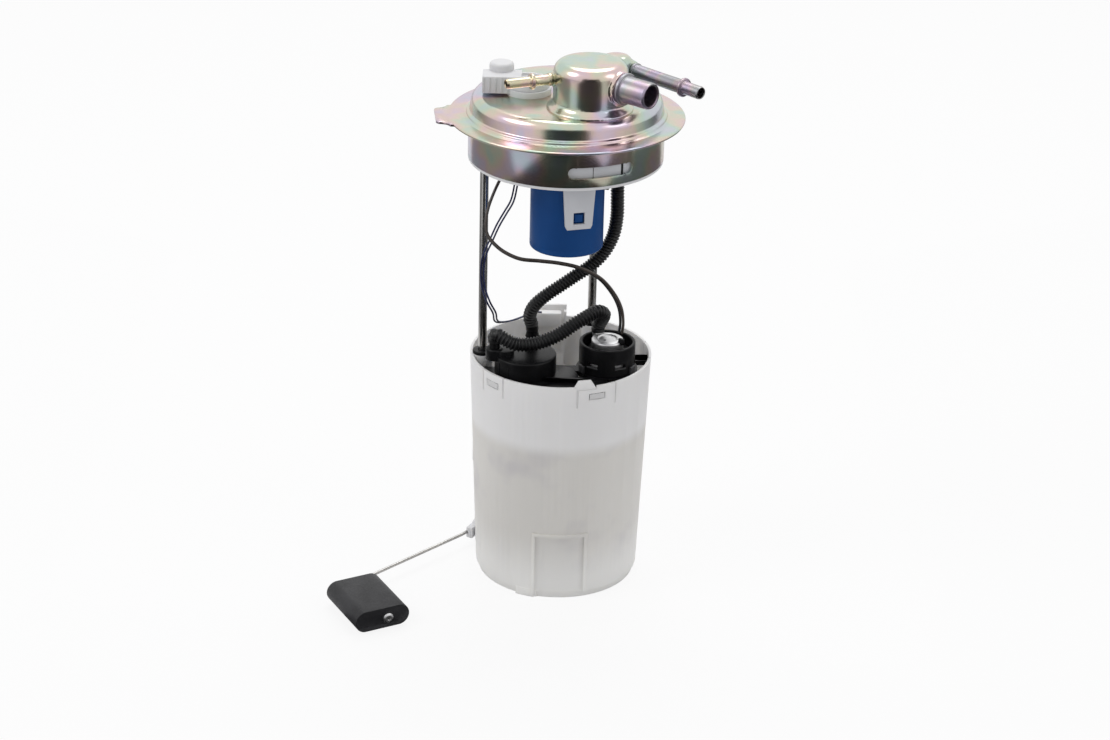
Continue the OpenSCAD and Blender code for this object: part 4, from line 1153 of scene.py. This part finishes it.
@dataclass
class Reservoir:
    """The milky reservoir and what stands in its mouth."""

    pump_at: Point = (27.2, -10.5, 0)
    filter_at: Point = (-20.5, -21.5, 0)
    filter_top: float = 144.0
    cap_z: float = 152.0
    plate_z: float = 133.2
    tab_turn: float = -74.3

    def build(self) -> None:
        """Builds the reservoir, the carrier plate, the filter, the pump's cap and its top."""
        place_cad("reservoir", "reservoir_shell", Slot.RESIN, Body.RESERVOIR, 0.3, angle=40)
        place_cad("pump_carrier", "carrier_plate", Slot.BLACK, Body.RESERVOIR, 0.35)
        place_cad("hose_elbow", "filter_elbow", Slot.BLACK, Body.RESERVOIR, 0.4, 3)
        place_cad("hose_spigot", "filter_spigot", Slot.BLACK, Body.RESERVOIR, 0.2)
        place(box("sender_plug", (-16.0, 41.4, 137.0), (0.0, 47.3, 146.2), 1.1), Slot.NYLON, Body.RESERVOIR,
              ("sender_connector",), material=FINISHES[Slot.RESIN])
        self.apron()
        self.snaps()
        self.filter_case()
        self.cup()
        self.pump_top()

    def apron(self) -> None:
        """The carrier's apron: an arc along the wall, then an edge that runs back past pump and filter."""
        rim = [(51.2 * cos(radians(a)), 51.2 * sin(radians(a))) for a in range(199, 280, 4)]
        outline = [*rim, (10.2, -45.0), (11.4, -34.0), (10.2, -24.0), (7.0, -16.0), (1.0, -12.5),
                   (-6.0, -12.5), (-20.5, -21.5), (-37.0, -17.0)]
        obj = slab("carrier_apron", outline, self.plate_z, self.plate_z + 3.2)
        soften(obj, 0.5, 2, 40)
        place(obj, Slot.BLACK, Body.RESERVOIR)

    def snaps(self) -> None:
        """Thin snap tongues in the rim's windows, webs in its slits, and a tab with sloping ends."""
        tongues = [box("tongue", (52.92, -4.65, 131.85), (53.1, 4.65, 135.15), 0.06, a)
                   for a in (-66, -137.5, 5)]
        webs = [box("web", (51.7, -0.6, 127.0), (52.75, 0.6, 139.7), 0.05, a)
                for a in (-79, -53, -147, -128, -8, 18)]
        place(merge(tongues + webs, "rim_snaps"), Slot.RESIN, Body.RESERVOIR)
        low, high, narrowing = 138.0, 144.0, 0.5
        tab = box("rim_tab", (51.45, -7.4, low), (52.95, 7.4, high), 0.0, self.tab_turn)
        mid = radians(self.tab_turn)
        for v in tab.data.vertices:
            if v.co.z > (low + high) / 2 * MM:
                side = (-v.co.x * sin(mid) + v.co.y * cos(mid)) * narrowing
                v.co.x += side * sin(mid)
                v.co.y -= side * cos(mid)
        soften(tab, 0.35, 2, 40)
        place(tab, Slot.RESIN, Body.RESERVOIR)

    def filter_case(self) -> None:
        """The filter's plain straight case with two upright ribs."""
        low, top, r = self.filter_top - 74, self.filter_top + 4, 18.0
        case = lathe("filter_case", [(0, low, 0), (r, low, 1.2), (r, top, 1.2), (0, top, 0)],
                     at=self.filter_at)
        place(case, Slot.BLACK, Body.RESERVOIR, ("filter_housing",), 40)
        ribs = [box("rib", (r - 0.5, -0.3, top - 14), (r + 0.3, 0.3, top - 3), 0.15, a, self.filter_at)
                for a in (-146, -122)]
        place(merge(ribs, "filter_ribs"), Slot.BLACK, Body.RESERVOIR)

    def cup(self) -> None:
        """The cup over the pump: a rolled rim, two windows with lips and a side latch."""
        z, r = self.cap_z, 16.5
        cup = lathe("pump_cup", [
            (14.4, z - 20, 0), (r, z - 20, 0.4), (r, z, 0.7), (r - 1.9, z, 0.7), (r - 2.2, z - 7.8, 0.6),
            (13.7, z - 8.2, 0.3), (13.7, z - 11, 0.2), (14.4, z - 11.2, 0)], 96, True, self.pump_at)
        for a in (-122, -62):
            window = box("window", (r - 4, -3.4, z - 11.4), (r + 2, 3.4, z - 9.2), 0, a, self.pump_at)
            cup = weld(cup, window, "DIFFERENCE")
        place(cup, Slot.BLACK, Body.RESERVOIR, ("pump_cap",), 40)
        lips = [box("lip", (r - 0.6, -3.6, z - 12.1), (r + 0.5, 3.6, z - 11.3), 0.25, a, self.pump_at)
                for a in (-122, -62)]
        latch = [box("latch", (r - 0.5, -2.4, z - 17.5), (r + 1.3, 2.4, z - 12.5), 0.4, a, self.pump_at)
                 for a in (-150, 90, -30)]
        place(merge(lips + latch, "cup_latches"), Slot.GREY, Body.RESERVOIR)

    def pump_top(self) -> None:
        """The plated end of the pump: a stepped lid with a dished port and a dark seat round it."""
        x, y = self.pump_at[:2]
        z = self.cap_z
        seat = lathe("pump_head", [(0, z - 16.8, 0), (13.4, z - 16.8, 0.3), (13.4, z - 5.8, 0.8),
                                   (10.4, z - 5, 0.6), (0, z - 5, 0)], 64, at=self.pump_at)
        place(seat, Slot.BLACK, Body.RESERVOIR, ("pump_end_plate",))
        lid = lathe("pump_lid", [(0, z + 0.7, 0), (5.2, z + 0.7, 0.5), (6.2, z + 1.7, 0.9),
                                 (9.4, z + 1.2, 1.3), (9.4, z - 5.4, 0.3), (0, z - 5.4, 0)], 64,
                    at=self.pump_at)
        lid = weld(lid, cylinder("port", 2.2, 6, (x - 3.0, y - 1.2, z - 1.1), 32), "DIFFERENCE")
        place(lid, Slot.PUMP_STEEL, Body.RESERVOIR)
        grommets = [cylinder("grommet", 1.5, 3.4, (x + 7.3 + 1.2 * k, y - 4.6 - 0.7 * k, z), 24, 1.1, 0.25)
                    for k in (0, 1)]
        place(merge(grommets, "lead_grommets"), Slot.BLACK, Body.RESERVOIR)


class FloatArm:
    """The level sender's wire, foam float and push nut."""

    def build(self) -> None:
        """Builds the float, the wire with its clip, and the nut on the wire's end."""
        place_cad("fuel_float", "foam_float", Slot.FOAM, Body.FLOAT_ARM, 0.6, 3, angle=40)
        place_cad("float_wire", "float_arm_wire", Slot.STAINLESS, Body.FLOAT_ARM, 0.15, angle=60)
        place_cad("arm_holder", "arm_clip", Slot.NYLON, Body.FLOAT_ARM, 0.3)
        place_cad("float_push_nut", "push_nut", Slot.PUMP_STEEL, Body.FLOAT_ARM, 0.12)


@dataclass(frozen=True)
class Studio:
    """Plain pale floor, soft lamps and the camera at the photograph's angle."""

    eye: Point = (-3.1, -1458.2, 785.8)
    tilt: float = 24.3
    roll: float = 1.42
    focus: float = 2700.0
    width: float = 1110.0
    sensor: float = 36.0
    target: Point = (0, 0, 160.0)

    def camera(self) -> None:
        """Stands the camera where the photograph was taken."""
        e, r = radians(self.tilt), radians(self.roll)
        up, back = Vector((0, sin(e), cos(e))), Vector((0, -cos(e), sin(e)))
        right = Vector((cos(r), 0, 0)) + up * sin(r)
        over = Vector((-sin(r), 0, 0)) + up * cos(r)
        data = bpy.data.cameras.new("camera")
        data.sensor_width = self.sensor
        data.lens = self.sensor * self.focus / self.width
        data.clip_end = 20.0
        cam = new_object("camera", data)
        turn = Matrix((right, over, back)).transposed().to_4x4()
        cam.matrix_world = Matrix.Translation(Vector(self.eye) * MM) @ turn
        bpy.context.scene.camera = cam

    def world(self) -> None:
        """A plain white room: full white to the camera and to glossy rays, softer as light."""
        world = bpy.data.worlds.new("room")
        bpy.context.scene.world = world
        world.use_nodes = True
        sheet = Sheet(world.node_tree)
        ray = sheet.add("LightPath")
        seen = sheet.add("Math", (ray, "Is Camera Ray"), (ray, "Is Glossy Ray"), operation="MAXIMUM")
        clear = sheet.add("Math", (seen, "Value"), (ray, "Is Transmission Ray"), operation="MAXIMUM")
        level = sheet.add("MapRange", Value=(clear, "Value"), To_Min=0.55, To_Max=1.0)
        back = sheet.add("Background", Color=(1, 1, 1, 1), Strength=(level, "Result"))
        sheet.add("OutputWorld", Surface=(back, "Background"))

    def floor(self) -> None:
        """A pale floor that fades into the room and keeps the object's shadow."""
        bpy.ops.object.select_all(action="DESELECT")
        bpy.ops.mesh.primitive_plane_add(size=12.0, location=(0, 0, -0.0002))
        floor = bpy.context.active_object
        floor.name = "studio_floor"
        material, sheet = new_material("floor_paint")
        paint = sheet.add("BsdfPrincipled", Base_Color=(0.86, 0.86, 0.87, 1), Roughness=0.9)
        glow = sheet.add("Emission", Color=(1, 1, 1, 1), Strength=1.0)
        ray = sheet.add("LightPath")
        share = sheet.add("MapRange", Value=(ray, "Is Camera Ray"), To_Min=0.0, To_Max=0.88)
        mix = sheet.add("MixShader", (share, "Result"), (paint, "BSDF"), (glow, "Emission"))
        sheet.add("OutputMaterial", Surface=(mix, "Shader"))
        floor.data.materials.append(material)

    def flags(self) -> None:
        """Grey cards that only reflections see, as in front of a studio's sweep."""
        for name, grey, corners in (
                ("flag_front", 0.02, [(-0.32, -0.06, 0.004), (0.20, -0.12, 0.004), (1.3, -2.4, 0.004),
                                      (-1.25, -2.4, 0.004)]),
                ("flag_wall", 0.02, [(-1.25, -2.4, 0.0), (1.3, -2.4, 0.0), (1.0, -2.4, 1.2),
                                     (-1.0, -2.4, 1.2)]),
                ("flag_right", 0.12, [(0.22, -0.2, 0.003), (2.6, -2.0, 0.003), (2.6, 1.8, 0.003),
                                      (0.22, 0.5, 0.003)]),
                ("flag_left", 0.26, [(-0.3, 0.5, 0.003), (-2.6, 1.8, 0.003), (-2.6, -1.2, 0.003),
                                     (-0.3, -0.2, 0.003)])):
            card = new_mesh(name, corners, [], [[0, 1, 2, 3]])
            material, sheet = new_material(name + "_cloth")
            cloth = sheet.add("BsdfPrincipled", Base_Color=(grey, grey, grey, 1), Roughness=1.0)
            sheet.add("OutputMaterial", Surface=(cloth, "BSDF"))
            card.data.materials.append(material)
            card.visible_camera = card.visible_diffuse = card.visible_shadow = False
            card.visible_transmission = False

    def lamps(self) -> None:
        """Three large soft lamps: key from the upper left, fill from the right, and one above."""
        for name, at, size, power in (("key", (-1.6, -0.6, 1.7), 1.1, 10.5),
                                      ("fill", (1.7, -0.7, 1.4), 1.1, 4.0),
                                      ("top", (0.1, 0.8, 1.8), 1.3, 12.0)):
            data = bpy.data.lights.new(name, "AREA")
            data.shape = "DISK"
            data.size = size
            data.energy = power
            lamp = new_object(name, data)
            lamp.location = at
            lamp.rotation_mode = "QUATERNION"
            beam = Vector(self.target) * MM - Vector(at)
            lamp.rotation_quaternion = beam.to_track_quat("-Z", "Y")

    def build(self) -> None:
        """Builds camera, room, floor, cards and lamps."""
        bpy.context.scene.view_settings.view_transform = "Standard"
        self.camera()
        self.world()
        self.floor()
        self.flags()
        self.lamps()


def dress_nodes() -> None:
    """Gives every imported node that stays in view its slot's finish."""
    parts = {part["node"]: Slot(part["material_slot"]) for part in frame["record"]["subparts"]}
    for name, obj in frame["nodes"].items():
        if name in parts:
            dress(obj, FINISHES[parts[name]])


def main() -> None:
    """Builds the studio, then every sub-assembly in order."""
    logging.basicConfig(level=logging.INFO, format="%(name)s: %(message)s")
    Studio().build()
    dress_nodes()
    CorrugatedHose("upper_corrugated_hose", "upper_hose", UPPER_ROUTE, 4.0, (3, 2.5),
                   ((24, -14, 209), (-17.4, -9.3, 161))).build()
    CorrugatedHose("lower_corrugated_hose", "lower_hose", LOWER_ROUTE, 4.25, (2, 2)).build()
    LeadPair(("pump_lead_black", "pump_lead_brown"), "pump_leads", PUMP_LEAD_ROUTE, 1.7, 0.1,
             ((-10, -39, 213), (34.5, -15, 159)), True,
             Slot.LEAD, (FINISHES[Slot.LEAD], BROWN_JACKET)).build()
    LeadPair(("sender_lead_1", "sender_lead_2"), "sender_leads", SENDER_LEAD_ROUTE, 1.1, 0.3,
             ((0, 0, 260), (0, 0, 147.6)), False,
             Slot.SENDER_LEAD, (FINISHES[Slot.SENDER_LEAD], FINISHES[Slot.SENDER_LEAD])).build()
    Cover().build()
    for port in (VENT, FEED, RETURN):
        port.build()
    PassThrough().build()
    VentValve().build()
    Rods().build()
    Reservoir().build()
    FloatArm().build()


if __name__ == "__main__":
    main()
